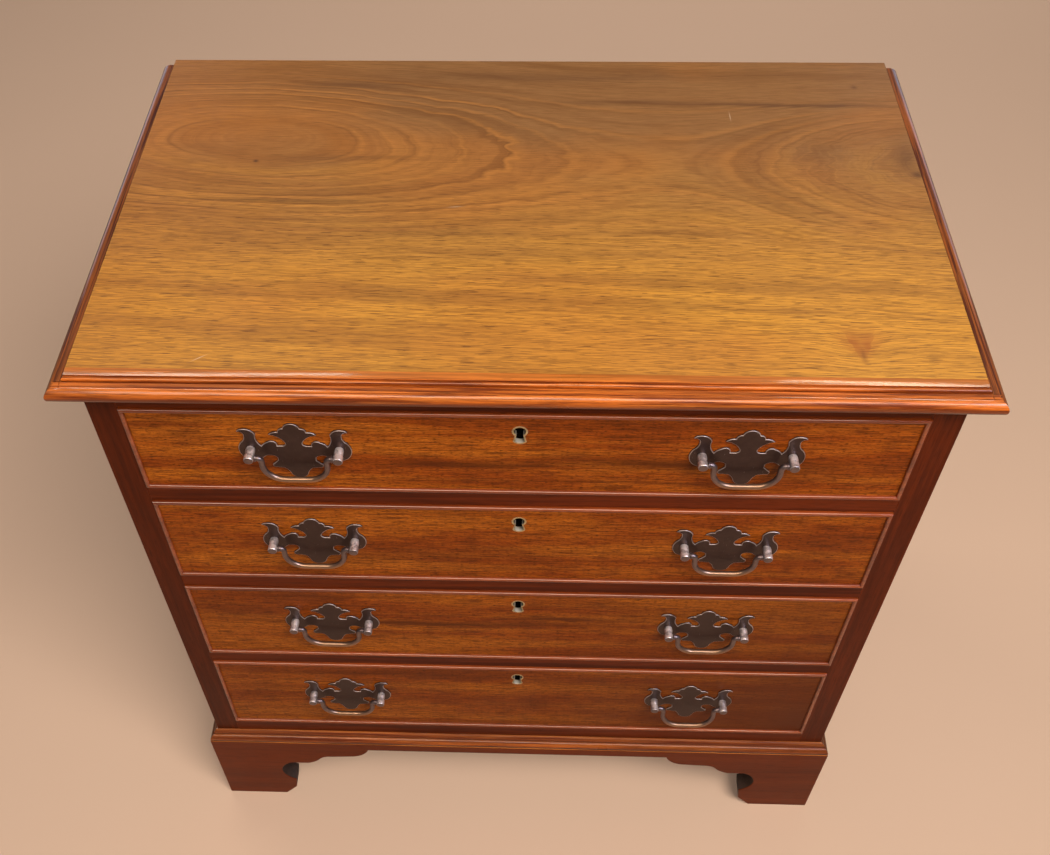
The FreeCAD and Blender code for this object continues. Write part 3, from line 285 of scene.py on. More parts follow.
def moulding_finish(name, axis, pale, dark, worn, seed, crown=9.0):
    """Glossy moulded edges: bold orange and dark streaks along the moulding, rubbed arrises, and painted highlight
    where a face turns up and painted shade where it turns down.

    The crown is the height of the flat strip on top of the moulding, which is golden.
    """
    finish = Finish(name)
    grained = along_grain(finish, axis)
    broad, medium, pores = grain(finish, grained, seed, wave=0.003)
    streaks = finish.cells(grained, 9.0, 420.0, 420.0, seed + 3.0, detail=3, roughness=0.65)
    wood = finish.blend(finish.span(broad, 0.42, 0.58, 0.25, 1.0, smooth=True), opaque(dark), opaque(pale))
    wood = finish.blend(finish.span(streaks, 0.42, 0.58, 0.90, 0.0), wood, opaque(dark))
    wood = finish.blend(finish.span(medium, 0.56, 0.70, 0.0, 0.45), wood, opaque(worn))
    wood = finish.blend(finish.span(pores, 0.34, 0.44, 0.6, 0.0), wood, opaque(0.3 * dark))
    height = finish.parts(finish.place())[2]
    flat = finish.span(height, crown - 0.0008, crown - 0.0003, 0.0, 0.45)
    wood = finish.blend(flat, wood, CROWN_GOLD)
    # painted highlight: golden where it faces up; painted shade: dark where it faces down
    rise = finish.facing()[2]
    share = finish.times(finish.span(rise, 0.25, 0.75), finish.span(streaks, 0.40, 0.58, 0.0, 0.30))
    wood = finish.blend(share, wood, opaque(worn))
    wood = finish.blend(finish.span(rise, 0.35, -0.35, 0.0, 0.75), wood, opaque(dark))
    # rubbed arrises that face up: wear and a painted highlight
    wood = finish.blend(worn_and_highlit_arris(finish, streaks, 0.3, 0.9, lit_from_above=True), wood, opaque(worn))
    # painted shade: the moulding low on the plinth is darker than the edge of the top
    wood = finish.blend(finish.span(height, 0.3, 0.5, 0.40, 0.0), wood, opaque(0.8 * dark))
    return polish(finish, wood, streaks, 0.45, haze=0.06, roughness=0.32, lively=True)


def case_finish(name, axis, pale, dark, seed, coat=0.10, haze=0.14, index=1.5, contrast=1.0, worn=None):
    """Polished solid wood with faint straight grain."""
    finish = Finish(name)
    grained = along_grain(finish, axis)
    broad, medium, pores = grain(finish, grained, seed)
    share = finish.plus(finish.times(broad, 0.6), finish.times(medium, 0.4))
    share = finish.span(share, 0.5 - 0.16 / contrast, 0.5 + 0.16 / contrast, smooth=True)
    wood = finish.blend(share, opaque(dark), opaque(pale))
    hollow = finish.span(pores, 0.34, 0.46, 0.45, 0.0)
    wood = finish.blend(hollow, wood, opaque(dark, 0.4, 0.4, 0.4))
    if worn is None:
        wood = finish.blend(worn_and_highlit_arris(finish, medium, 0.1, 0.5), wood, opaque(pale, 1.5, 1.6, 1.8))
    else:
        # the worn colour on the rounded edges that face up: wear and a painted highlight
        wood = finish.blend(worn_and_highlit_arris(finish, medium, 0.4, 1.0, lit_from_above=True), wood, opaque(worn))
    return polish(finish, wood, medium, coat, haze=haze, gloss=0.06, index=index)


def bare_finish(name, axis, pale, dark, seed):
    """Bare, dry wood of drawer linings and hidden boards."""
    finish = Finish(name)
    grained = along_grain(finish, axis)
    broad, medium, pores = grain(finish, grained, seed, wave=0.012)
    share = finish.plus(finish.times(broad, 0.5), finish.times(medium, 0.5))
    wood = finish.blend(finish.span(share, 0.36, 0.64, smooth=True), opaque(dark), opaque(pale))
    hollow = finish.span(pores, 0.34, 0.46, 0.5, 0.0)
    wood = finish.blend(hollow, wood, opaque(dark, 0.5, 0.5, 0.5))
    grime_and_shade = finish.cells(finish.place(), 9.0, 9.0, 9.0, seed, detail=4)
    wood = finish.blend(finish.span(grime_and_shade, 0.5, 0.75, 0.0, 0.35), wood, opaque(dark))
    normal = finish.bump(medium, 0.0003, 0.7)
    return finish.finish(wood, 0.72, Normal=normal)


# colours that only one finish uses
CROWN_GOLD = (0.62, 0.200, 0.028, 1.0)
LEFT_ORANGE = (0.60, 0.200, 0.024, 1.0)
CLOUD_ROSE = (0.54, 0.185, 0.032, 1.0)
RING_GLOW = (0.66, 0.26, 0.055, 1.0)
PORE_BROWN = (0.11, 0.038, 0.012, 1.0)
MARK_UMBER = (0.085, 0.032, 0.014, 1.0)
FLAME_RED = (0.33, 0.085, 0.016, 1.0)
SCRATCH_PALE = (0.80, 0.60, 0.42, 1.0)

# growth rings of the top: distance from the middle of the ovals, width and depth of each
TOP_RINGS = (
    (0.0360, 0.0009, 0.45), (0.0548, 0.0009, 0.60), (0.0790, 0.0009, 0.60), (0.0885, 0.0008, 0.60),
    (0.0985, 0.0008, 0.55), (0.0680, 0.0007, 0.25), (0.1150, 0.0010, 0.30), (0.0465, 0.0006, 0.20),
)
# dark streaks and knots of the top: middle, half sizes and depth of each
TOP_MARKS = (
    ((0.25, 0.157), (0.13, 0.0028), 0.62),
    ((0.10, 0.161), (0.08, 0.0028), 0.40),
    ((-0.18, 0.188), (0.06, 0.006), 0.45),
    ((0.02, 0.205), (0.16, 0.008), 0.35),
    ((-0.22, 0.003), (0.08, 0.0030), 0.50),
    ((-0.15, 0.068), (0.06, 0.004), 0.30),
    ((0.356, 0.072), (0.011, 0.022), 0.45),
    ((0.362, 0.049), (0.006, 0.005), 0.75),
    ((-0.254, 0.062), (0.0024, 0.0020), 0.9),
    ((0.327, 0.189), (0.0030, 0.0022), 0.7),
    ((0.273, -0.186), (0.0022, 0.007), 0.55),
    ((0.250, -0.1625), (0.060, 0.0006), 0.6),
)
# small pale scratches of the top: middle and slant of each
TOP_SCRATCHES = (((-0.259, -0.198), 0.6), ((0.199, 0.138), 1.6), ((-0.062, -0.004), 0.1))
# dark flames of the drawer fronts: middle across and up, half sizes and depth of each
FRONT_FLAMES = (
    ((-0.070, 0.6690), (0.040, 0.0050), 0.85),
    ((-0.020, 0.6650), (0.050, 0.0038), 0.80),
    ((0.150, 0.6720), (0.115, 0.0085), 0.95),
    ((0.080, 0.6450), (0.090, 0.0015), 0.60),
    ((-0.20, 0.5480), (0.10, 0.006), 0.35),
    ((0.12, 0.5400), (0.12, 0.003), 0.40),
    ((-0.10, 0.4060), (0.15, 0.0045), 0.90),
    ((0.04, 0.4180), (0.06, 0.0045), 0.90),
    ((-0.21, 0.4520), (0.09, 0.0030), 0.60),
    ((0.24, 0.2850), (0.10, 0.0060), 0.40),
    ((-0.20, 0.3000), (0.12, 0.0040), 0.35),
)


def top_finish(settings):
    """The veneer of the top: two sets of nested ovals in straight grain."""
    finish = Finish("top_veneer_figured")
    place = finish.place()
    x, y, _ = finish.parts(place)
    slow = finish.cells(place, 9.0, 16.0, 0.0, 3.1)
    quick = finish.cells(place, 42.0, 75.0, 0.0, 7.7)
    near_ends = finish.plus(
        finish.spot(x, y, (0.0, 0.075), (0.08, 0.06)), finish.spot(x, y, (0.28, 0.060), (0.07, 0.05)))
    wiggle = finish.shift(quick, finish.span(near_ends, 0.0, 1.0, 0.008, 0.050))
    across = finish.plus(x, finish.plus(wiggle, finish.shift(slow, 0.020)))
    bend = finish.shift(slow, 0.012)
    # how far each point is from the line through the middles of the ovals
    middle = finish.plus(finish.times(across, -0.055), 0.0865)
    knot = finish.spot(x, y, (0.272, -0.176), (0.026, 0.020))
    off = finish.minus(finish.plus(y, bend), middle)
    off = finish.plus(off, finish.times(knot, 0.010))
    # the rings close round each oval's middle, as they are pushed out most halfway between the two
    left_middle, waist, right_reach = -0.25, 0.13, 0.275
    left = finish.minus(finish.math("MINIMUM", across, waist), left_middle)
    left = finish.math("DIVIDE", left, waist - left_middle)
    right = finish.math("MAXIMUM", finish.minus(across, waist), 0.0)
    right = finish.math("DIVIDE", right, right_reach)
    phase = finish.times(finish.plus(left, right), math.pi / 2)
    swell = finish.math("POWER", finish.math("ABSOLUTE", finish.math("SINE", phase)), 2.0)
    reach = finish.math("DIVIDE", off, 0.155)
    fade = finish.math("EXPONENT", finish.times(finish.times(reach, reach), -1.0))
    lift = finish.times(finish.times(swell, fade), 0.0094)
    ring = finish.math("SQRT", finish.plus(finish.times(off, off), lift))
    ring = finish.plus(ring, finish.times(off, 0.12))

    broad = finish.noise(finish.join(finish.times(x, 2.6), finish.times(ring, 55.0), 5.0), 4, 0.6)
    medium = finish.noise(finish.join(finish.times(x, 12.0), finish.times(ring, 460.0), 9.0), 3, 0.6)
    bent = finish.join(x, finish.plus(y, finish.times(knot, 0.006)), 0.0)
    fine = finish.cells(bent, 45.0, 1500.0, 0.0, 1.3, detail=2, roughness=0.6)
    pores = finish.cells(bent, 62.0, 1400.0, 0.0, 4.2, detail=1)

    gold, brown, dark = opaque(settings.top_gold), opaque(settings.top_brown), opaque(settings.top_dark)
    # golden towards the front and browner towards the back: partly the wood's own tone, partly painted light that
    # falls off towards the back
    towards_back = finish.plus(y, finish.shift(broad, 0.20))
    wood = finish.blend(finish.span(towards_back, -0.15, 0.09), gold, brown)
    deep = finish.times(finish.span(y, -0.10, 0.12, 0.34, 0.46), finish.span(near_ends, 0.0, 1.0, 1.0, 0.35))
    deep = finish.times(finish.span(broad, 0.46, 0.64, smooth=True), deep)
    wood = finish.blend(deep, wood, dark)
    wood = finish.blend(finish.span(x, -0.12, -0.38, 0.0, 0.40), wood, LEFT_ORANGE)
    rosy = finish.cells(place, 3.5, 7.0, 0.0, 8.8, detail=3)
    wood = finish.blend(finish.span(rosy, 0.48, 0.66, 0.0, 0.45), wood, CLOUD_ROSE)
    calm = finish.span(ring, 0.030, 0.060, 0.45, 1.0)
    wood = finish.blend(finish.times(finish.span(medium, 0.46, 0.66, 0.0, 0.32), calm), wood, dark)

    # growth rings: thin dark lines, each with a pale one beyond it, and faint ones between
    vary = finish.noise(finish.join(finish.times(x, 7.0), finish.times(ring, 30.0), 2.0))
    strength = finish.times(finish.span(vary, 0.36, 0.58, 0.25, 1.0), finish.span(x, 0.08, 0.20, 1.0, 0.45))
    shaken = finish.plus(ring, finish.shift(quick, 0.0025))
    for at, width, depth in TOP_RINGS:
        line = finish.times(finish.spot(shaken, shaken, (at, at), (width, 1.0)), strength)
        glow = finish.spot(shaken, shaken, (at + 2.6 * width, at), (1.5 * width, 1.0))
        glow = finish.times(glow, strength)
        wood = finish.blend(finish.times(glow, 0.80 * depth), wood, RING_GLOW)
        wood = finish.blend(finish.times(line, depth), wood, dark)
    years = finish.math("FRACT", finish.math("DIVIDE", shaken, 0.0052))
    wood = finish.blend(finish.times(finish.span(years, 0.5, 1.0, 0.0, 0.12), strength), wood, dark)

    wood = finish.blend(finish.span(fine, 0.46, 0.64, 0.0, 0.40), wood, dark)
    hollow = finish.times(finish.span(pores, 0.385, 0.42, 0.62, 0.0), finish.span(y, 0.09, -0.05, 0.35, 1.0))
    wood = finish.blend(hollow, wood, PORE_BROWN)

    # streaks, knots and a flame that stand in particular places
    frayed = finish.shift(medium, 0.008)
    streak_y = finish.plus(y, finish.plus(frayed, bend))
    for at, reach_of, depth in TOP_MARKS:
        patch = finish.times(finish.spot(x, streak_y, at, reach_of), depth)
        wood = finish.blend(patch, wood, MARK_UMBER)
    # the flame over the knot, which narrows to a point
    rise = finish.math("MAXIMUM", finish.plus(y, 0.194), 0.0)
    spread = finish.math("MULTIPLY_ADD", rise, 0.55, 0.0015)
    swing = finish.math("DIVIDE", finish.minus(finish.plus(x, frayed), 0.273), spread)
    patch = finish.spot(swing, y, (0.0, -0.174), (1.0, 0.015))
    veins = finish.math("FRACT", finish.times(finish.math("ABSOLUTE", swing), 1.6))
    patch = finish.times(patch, finish.span(veins, 0.0, 1.0, 0.55, 1.0))
    wood = finish.blend(patch, wood, FLAME_RED)
    # small pale scratches, each at a slant
    for at, slant in TOP_SCRATCHES:
        ahead = finish.minus(x, at[0])
        aside = finish.minus(y, at[1])
        run = finish.plus(finish.times(ahead, math.cos(slant)), finish.times(aside, math.sin(slant)))
        miss = finish.minus(finish.times(aside, math.cos(slant)), finish.times(ahead, math.sin(slant)))
        scratch = finish.spot(run, miss, (0.0, 0.0), (0.0055, 0.0004))
        wood = finish.blend(finish.times(scratch, 0.6), wood, SCRATCH_PALE)
    return polish(finish, wood, finish.plus(fine, medium), 0.30, haze=0.10, roughness=0.36)


def front_finish(settings):
    """The veneer of the drawer fronts: straight streaks along the drawer with a few dark flames."""
    finish = Finish("front_veneer_streaked")
    place = finish.place()
    x, y, z = finish.parts(place)
    broad, medium, _ = grain(finish, place, 21.0, wave=0.012)
    clouds = finish.cells(place, 6.0, 0.0, 20.0, 14.0, detail=4, roughness=0.6)
    fibres = finish.cells(place, 30.0, 0.0, 620.0, 2.0, detail=3, roughness=0.65)
    fine = finish.cells(place, 80.0, 0.0, 1300.0, 2.0, detail=2, roughness=0.6)
    dashes = finish.cells(place, 230.0, 0.0, 1700.0, 9.0, detail=1)
    pale, mid, dark = opaque(settings.front_pale), opaque(settings.front_mid), opaque(settings.front_dark)
    russet, shadow = (0.16, 0.035, 0.005, 1.0), (0.11, 0.020, 0.003, 1.0)
    wood = finish.blend(finish.span(broad, 0.44, 0.64, smooth=True), mid, pale)
    wood = finish.blend(finish.span(clouds, 0.50, 0.66, 0.0, 0.65), wood, pale)
    wood = finish.blend(finish.span(clouds, 0.50, 0.34, 0.0, 0.45), wood, russet)
    wood = finish.blend(finish.span(broad, 0.42, 0.28, 0.0, 0.50, smooth=True), wood, dark)
    wood = finish.blend(finish.span(medium, 0.50, 0.70, 0.0, 0.35), wood, dark)
    wood = finish.blend(finish.span(fibres, 0.47, 0.62, 0.0, 0.72), wood, dark)
    wood = finish.blend(finish.span(fine, 0.49, 0.63, 0.0, 0.70), wood, dark)
    wood = finish.blend(finish.span(dashes, 0.38, 0.43, 0.65, 0.0), wood, opaque(0.4 * settings.front_dark))
    sway = finish.cells(place, 7.0, 0.0, 10.0, 6.0)
    wavy = finish.plus(z, finish.shift(sway, 0.016))
    frayed = finish.plus(wavy, finish.shift(fibres, 0.010))
    for at, reach, depth in FRONT_FLAMES:
        wood = finish.blend(finish.times(finish.spot(x, frayed, at, reach), depth), wood, dark)
    # painted shade: a little darker towards the foot and the right
    low = finish.span(z, 0.60, 0.20, 0.0, 0.22)
    far = finish.times(finish.span(x, -0.04, 0.32, 0.0, 0.80), finish.span(z, 0.60, 0.20))
    wood = finish.blend(finish.plus(low, far), wood, shadow)
    # behind the veneer the board is plain solid wood, painted nearly black inside the keyholes as shade
    solid_dark, solid_pale = (0.20, 0.058, 0.018, 1.0), (0.30, 0.095, 0.030, 1.0)
    keyhole_shade = (0.004, 0.003, 0.002, 1.0)
    solid = finish.blend(finish.span(medium, 0.4, 0.6), solid_dark, solid_pale)
    inside = finish.math("LESS_THAN", finish.math("ABSOLUTE", x), 0.008)
    inside = finish.times(inside, finish.math("LESS_THAN", y, -0.1985))
    solid = finish.blend(inside, solid, keyhole_shade)
    wood = finish.blend(finish.span(y, -0.2124, -0.2118), wood, solid)
    return polish(finish, wood, finish.plus(fine, fibres), 0.10, haze=0.10, roughness=0.36, gloss=0.06)


def plate_finish(settings):
    """Dark bronzed patina, rubbed through along the rims."""
    finish = Finish("plate_patina")
    place = finish.place()
    cloud = finish.cells(place, 120.0, 120.0, 120.0, detail=4, roughness=0.6)
    scratch = finish.cells(place, 900.0, 60.0, 160.0)
    paler, rim, scored = (0.074, 0.041, 0.034, 1.0), (0.52, 0.43, 0.41, 1.0), (0.30, 0.26, 0.25, 1.0)
    metal = finish.blend(finish.span(cloud, 0.4, 0.7, 0.0, 0.6), opaque(settings.plate), paler)
    share = finish.times(finish.mark("arris"), finish.span(cloud, 0.3, 0.65, 0.45, 1.0))
    metal = finish.blend(share, metal, rim)
    metal = finish.blend(finish.span(scratch, 0.70, 0.76, 0.0, 0.5), metal, scored)
    dull = finish.span(cloud, 0.3, 0.7, 0.36, 0.52)
    normal = finish.bump(cloud, 0.0002, 0.5)
    return finish.finish(metal, dull, Metallic=0.75, Normal=normal, Coat_Weight=0.15, Coat_Roughness=0.25)


def handle_finish(settings):
    """Aged posts and bails: grey patina, worn to brass where hands lift the bail."""
    finish = Finish("handle_patina")
    place = finish.place()
    cloud = finish.cells(place, 150.0, 150.0, 150.0, detail=4, roughness=0.6)
    silvered_and_highlit = finish.mark("silvered_and_highlit")
    patina = (0.15, 0.115, 0.110, 1.0)
    metal = finish.blend(finish.span(cloud, 0.35, 0.7, 0.0, 0.7), opaque(settings.handle), patina)
    share = finish.times(finish.mark("worn"), finish.span(cloud, 0.3, 0.6, 0.7, 0.9))
    metal = finish.blend(share, metal, opaque(settings.worn))
    # silver on the posts: wear, and a painted highlight stronger on the faces that look up
    share = finish.times(silvered_and_highlit, finish.span(finish.facing()[2], -0.25, 0.65, 0.25, 1.0))
    share = finish.times(share, finish.span(cloud, 0.46, 0.56, 1.0, 0.30))
    metal = finish.blend(share, metal, opaque(settings.post))
    dull = finish.span(cloud, 0.3, 0.7, 0.32, 0.46)
    normal = finish.bump(cloud, 0.00025, 0.5)
    metallic = finish.minus(0.92, finish.times(silvered_and_highlit, 0.35))
    return finish.finish(metal, dull, Metallic=metallic, Normal=normal)


def lock_finish(settings):
    """Satin brass, bright in front; inside a keyhole, a painted highlight where its floor faces up and painted
    shade on its other walls.
    """
    finish = Finish("lock_brass_satin")
    place = finish.place()
    depth = finish.parts(place)[1]
    cloud = finish.cells(place, 300.0, 300.0, 300.0, detail=3)
    _, backward, upward = finish.facing()
    base, grime_and_shade, bright = opaque(settings.lock), (0.05, 0.035, 0.022, 1.0), (0.80, 0.72, 0.60, 1.0)
    front = finish.times(finish.span(backward, -0.7, -0.95), finish.span(cloud, 0.35, 0.6, 0.45, 1.0))
    # painted highlight on the keyhole floor that faces up, painted shade on its other walls
    metal = finish.blend(finish.span(upward, 0.5, 0.9), grime_and_shade, bright)
    metal = finish.blend(front, metal, base)
    metal = finish.blend(finish.span(depth, -0.2085, -0.2080), metal, base)
    return finish.finish(metal, 0.38, Metallic=0.6)


def brass_finish(name, base, roughness):
    """Plain brass or steel with fine file marks and a little tarnish."""
    finish = Finish(name)
    place = finish.place()
    cloud = finish.cells(place, 90.0, 90.0, 90.0, detail=4)
    marks = finish.cells(place, 60.0, 1400.0, 1400.0)
    tarnish = opaque(base, 0.42, 0.36, 0.30)
    metal = finish.blend(finish.span(cloud, 0.42, 0.70, 0.0, 0.7), opaque(base), tarnish)
    dull = finish.span(cloud, 0.3, 0.7, roughness - 0.06, roughness + 0.12)
    return finish.finish(metal, dull, Metallic=0.95, Normal=finish.bump(marks, 0.00008, 0.6))


FINISHES = {}


def finish_for(name):
    """The material of that name, made once."""
    if name not in FINISHES:
        wood = bpy.context.scene.chest_wood
        brass = bpy.context.scene.chest_brass
        pale, dark = wood.case_pale, wood.case_dark
        edge = wood.edge_pale, wood.edge_dark, wood.edge_worn_and_highlit
        # the plinth's top arris gets the worn colour as wear and as a painted highlight
        plinth = {"coat": 0.12, "haze": 0.07, "contrast": 0.55, "worn": wood.edge_worn_and_highlit}
        lining = wood.lining_pale, wood.lining_dark
        makers = {
            "top": lambda: top_finish(wood),
            "front": lambda: front_finish(wood),
            "case_x": lambda: case_finish(
                "case_wood_rails", ALONG_X, pale, dark, 31.0, haze=0.09, contrast=1.6),
            "side_left": lambda: case_finish("case_wood_left", ALONG_Z, 0.76 * pale, 0.76 * dark, 37.0),
            "side_right": lambda: case_finish("case_wood_right", ALONG_Z, pale, dark, 38.0),
            "plinth_x": lambda: case_finish(
                "plinth_wood_front", ALONG_X, wood.plinth_pale, wood.plinth_dark, 33.0, **plinth),
            "plinth_y": lambda: case_finish(
                "plinth_wood_sides", ALONG_Y, wood.plinth_pale, wood.plinth_dark, 34.0, **plinth),
            # the plinth's inner faces: dark old wood, painted nearly black as shade under the chest
            "plinth_inside_shade": lambda: bare_finish(
                "plinth_wood_inside_shade", ALONG_X, (0.050, 0.022, 0.012), (0.022, 0.010, 0.006), 35.0),
            "moulding_x": lambda: moulding_finish("moulding_wood_front", ALONG_X, *edge, 41.0, crown=0.780),
            "moulding_y": lambda: moulding_finish(
                "moulding_wood_sides", ALONG_Y, 0.45 * edge[0], 0.5 * edge[1], 0.5 * edge[2], 44.0),
            "bead": lambda: case_finish(
                "bead_wood", ALONG_X, (0.36, 0.066, 0.012), (0.15, 0.023, 0.005), 51.0,
                coat=0.9, haze=0.10, index=1.85),
            "lining_x": lambda: bare_finish("lining_wood_x", ALONG_X, *lining, 61.0),
            "lining_y": lambda: bare_finish("lining_wood_y", ALONG_Y, *lining, 64.0),
            "lining_z": lambda: bare_finish("lining_wood_z", ALONG_Z, *lining, 67.0),
            "plate": lambda: plate_finish(brass),
            "handle": lambda: handle_finish(brass),
            "lock": lambda: lock_finish(brass),
            "bolt": lambda: brass_finish("bolt_steel_satin", brass.bolt, 0.38),
        }
        FINISHES[name] = makers[name]()
    return FINISHES[name]


# ---- shaping

# points this close become one
MERGE = 2e-6
# widths of the rounding where it isn't the boards' own
FINE_ARRIS = 0.0003
FRONT_ARRIS = 0.0004
LINING_ARRIS = 0.0005
PLINTH_ARRIS = 0.0008
SIDE_ARRIS = 0.0009
BLOCK_ARRIS = 0.001


def placed(name, data):
    """A new object in the scene."""
    piece = bpy.data.objects.new(name, data)
    bpy.context.scene.collection.objects.link(piece)
    return piece


def settle(bm, name, node, *finishes):
    """Make a shaped mesh a piece that rides with a node's body and stands for it."""
    mesh = bpy.data.meshes.new(name)
    bm.to_mesh(mesh)
    bm.free()
    normals = mesh.attributes.get("custom_normal")
    if normals is not None:
        mesh.attributes.remove(normals)
    for finish in finishes:
        mesh.materials.append(finish_for(finish))
    piece = placed(name, mesh)
    weighted = piece.modifiers.new("flat faces", "WEIGHTED_NORMAL")
    weighted.keep_sharp = True
    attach(piece, BODY_OF[node])
    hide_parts(node)
    return piece


def merged_copy(node):
    """A node's solids as whole faces instead of loose triangles."""
    bm = bmesh.new()
    bm.from_mesh(NODES[node].data)
    bmesh.ops.remove_doubles(bm, verts=bm.verts, dist=MERGE)
    bmesh.ops.dissolve_limit(bm, angle_limit=math.radians(0.4), verts=bm.verts, edges=bm.edges)
    return bm


def shade(bm, most, shortest=-1.0):
    """Shade smoothly, but not over edges that turn by more degrees than most or are too short."""
    for face in bm.faces:
        face.smooth = True
    for edge in bm.edges:
        edge.smooth = edge.calc_face_angle(math.pi) < math.radians(most) and edge.calc_length() > shortest


def soften(bm, edges, width, segments=2, clamp=True):
    """Round the given edges and mark the new faces as worn arrises."""
    worn = bm.faces.layers.float.new("arris")
    made = bmesh.ops.bevel(
        bm, geom=edges, offset=width, offset_type="OFFSET", affect="EDGES", segments=segments,
        profile=0.5, material=-1, clamp_overlap=clamp,
    )
    for face in made["faces"]:
        face[worn] = 1.0
    shade(bm, 40)


def sharp_edges(bm, least=30.0):
    """Edges where two faces meet at more than that many degrees."""
    return [edge for edge in bm.edges if edge.calc_face_angle(0.0) > math.radians(least)]


def eased_copy(node, width, clamp=True):
    """A node's solids with all their edges a little rounded."""
    bm = merged_copy(node)
    soften(bm, sharp_edges(bm), width, clamp=clamp)
    return bm


def eased_board(node, finish, width=None):
    """A board with its edges rounded by that width, or else by the boards' own."""
    bm = eased_copy(node, width or bpy.context.scene.chest_wood.arris)
    return settle(bm, node + "_eased", node, finish)


def smoothed(node, finish, marked=None, shortest=0.0):
    """A node's own rounded shape with its joins merged; marked tells how silvery each corner is.

    Edges up to the shortest length stay sharp: those are the joins at the mitres.
    """
    bm = bmesh.new()
    bm.from_mesh(NODES[node].data)
    bmesh.ops.remove_doubles(bm, verts=bm.verts, dist=MERGE)
    if marked:
        silvered_and_highlit = bm.verts.layers.float.new("silvered_and_highlit")
        for vert in bm.verts:
            vert[silvered_and_highlit] = marked(vert.co)
    shade(bm, 35, shortest)
    return settle(bm, node + "_smoothed", node, finish)


def repaint(node, finish):
    """Give a node that keeps its shape its material."""
    mesh = NODES[node].data
    mesh.materials.clear()
    mesh.materials.append(finish_for(finish))


# ---- operators

class CHEST_OT_top(bpy.types.Operator):
    """Model the top board with its moulded edge and figured veneer"""
    bl_idname = "chest.top"
    bl_label = "Top board"

    def execute(self, context):
        # the veneer ends at these lines, and the moulded edge beyond them is mitred at the corners
        front, side = -0.2105, 0.365
        corner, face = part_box("top_board")[0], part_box("top_board")[1].z
        bm = eased_copy("top_board", FRONT_ARRIS)
        cuts = [((0.0, front, face), (0, 1, 0))]
        for way in (-1, 1):
            cuts.append(((way * side, 0.0, face), (1, 0, 0)))
            cuts.append(((way * side, front, face), (front - corner.y, way * (side + corner.x), 0)))
        for point, across in cuts:
            bmesh.ops.bisect_plane(
                bm, geom=bm.verts[:] + bm.edges[:] + bm.faces[:], dist=1e-6, plane_co=point, plane_no=across)
        slope = (front - corner.y) / (-corner.x - side)
        for each in bm.faces:
            middle = each.calc_center_median()
            if middle.z > face - 1e-5 and middle.y > front and abs(middle.x) < side:
                each.material_index = 0
            elif (abs(middle.x) - side) * slope < front - middle.y:
                each.material_index = 1
            else:
                each.material_index = 2
        settle(bm, "top_board_eased", "top_board", "top", "moulding_x", "moulding_y")
        return {"FINISHED"}


class CHEST_OT_case(bpy.types.Operator):
    """Model the sides, rails, back and the hidden boards of the case"""
    bl_idname = "chest.case"
    bl_label = "Case"

    def execute(self, context):
        for node in ("side_left", "side_right"):
            eased_board(node, node, SIDE_ARRIS)
        for node in ("top_rail", "drawer_rails", "bottom_rail"):
            eased_board(node, "case_x")
        eased_board("back_panel", "lining_z")
        for node in ("bottom_board", "drawer_stops"):
            repaint(node, "lining_x")
        repaint("drawer_runners", "lining_y")
        return {"FINISHED"}


class CHEST_OT_plinth(bpy.types.Operator):
    """Model the base moulding and the plinth with its bracket feet"""
    bl_idname = "chest.plinth"
    bl_label = "Plinth"

    def execute(self, context):
        bm = eased_copy("base_moulding", FINE_ARRIS)
        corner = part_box("base_moulding")[0]
        for each in bm.faces:
            middle = each.calc_center_median()
            each.material_index = 1 if -corner.x - abs(middle.x) < middle.y - corner.y else 0
        settle(bm, "base_moulding_eased", "base_moulding", "moulding_x", "moulding_y")
        # the polish goes this far round behind a board's face, and over its back end
        lap = 0.0055
        for node, finish, axis in (
            ("plinth_front", "plinth_x", 1), ("plinth_left", "plinth_y", 0), ("plinth_right", "plinth_y", 0),
        ):
            low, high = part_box(node)
            outer = low[axis] if abs(low[axis]) > abs(high[axis]) else high[axis]
            bm = eased_copy(node, PLINTH_ARRIS)
            for each in bm.faces:
                behind = abs(each.calc_center_median()[axis] - outer) > lap
                # faces behind get the nearly black inside finish: dark wood and painted shade
                each.material_index = 1 if behind and each.normal.y < 0.5 else 0
            settle(bm, node + "_eased", node, finish, "plinth_inside_shade")
        eased_board("rear_brackets", "lining_x")
        eased_board("corner_blocks", "lining_z", BLOCK_ARRIS)
        return {"FINISHED"}


class CHEST_OT_drawers(bpy.types.Operator):
    """Model the four drawers: fronts, cock beads, sides, backs and bottoms"""
    bl_idname = "chest.drawers"
    bl_label = "Drawers"

    def execute(self, context):
        for number in DRAWERS:
            eased_board(f"drawer_{number}_front", "front", FRONT_ARRIS)
            smoothed(f"drawer_{number}_cock_beads", "bead", shortest=0.003)
            eased_board(f"drawer_{number}_sides", "lining_y", LINING_ARRIS)
            eased_board(f"drawer_{number}_back", "lining_x", LINING_ARRIS)
            repaint(f"drawer_{number}_bottom", "lining_x")
        return {"FINISHED"}


class CHEST_OT_locks(bpy.types.Operator):
    """Model the locks with their keyhole linings, and the lock bolts"""
    bl_idname = "chest.locks"
    bl_label = "Locks"

    def execute(self, context):
        for number in DRAWERS:
            node = f"drawer_{number}_lock"
            settle(eased_copy(node, FINE_ARRIS, clamp=False), node + "_eased", node, "lock")
            repaint(f"drawer_{number}_lock_bolt", "bolt")
        return {"FINISHED"}


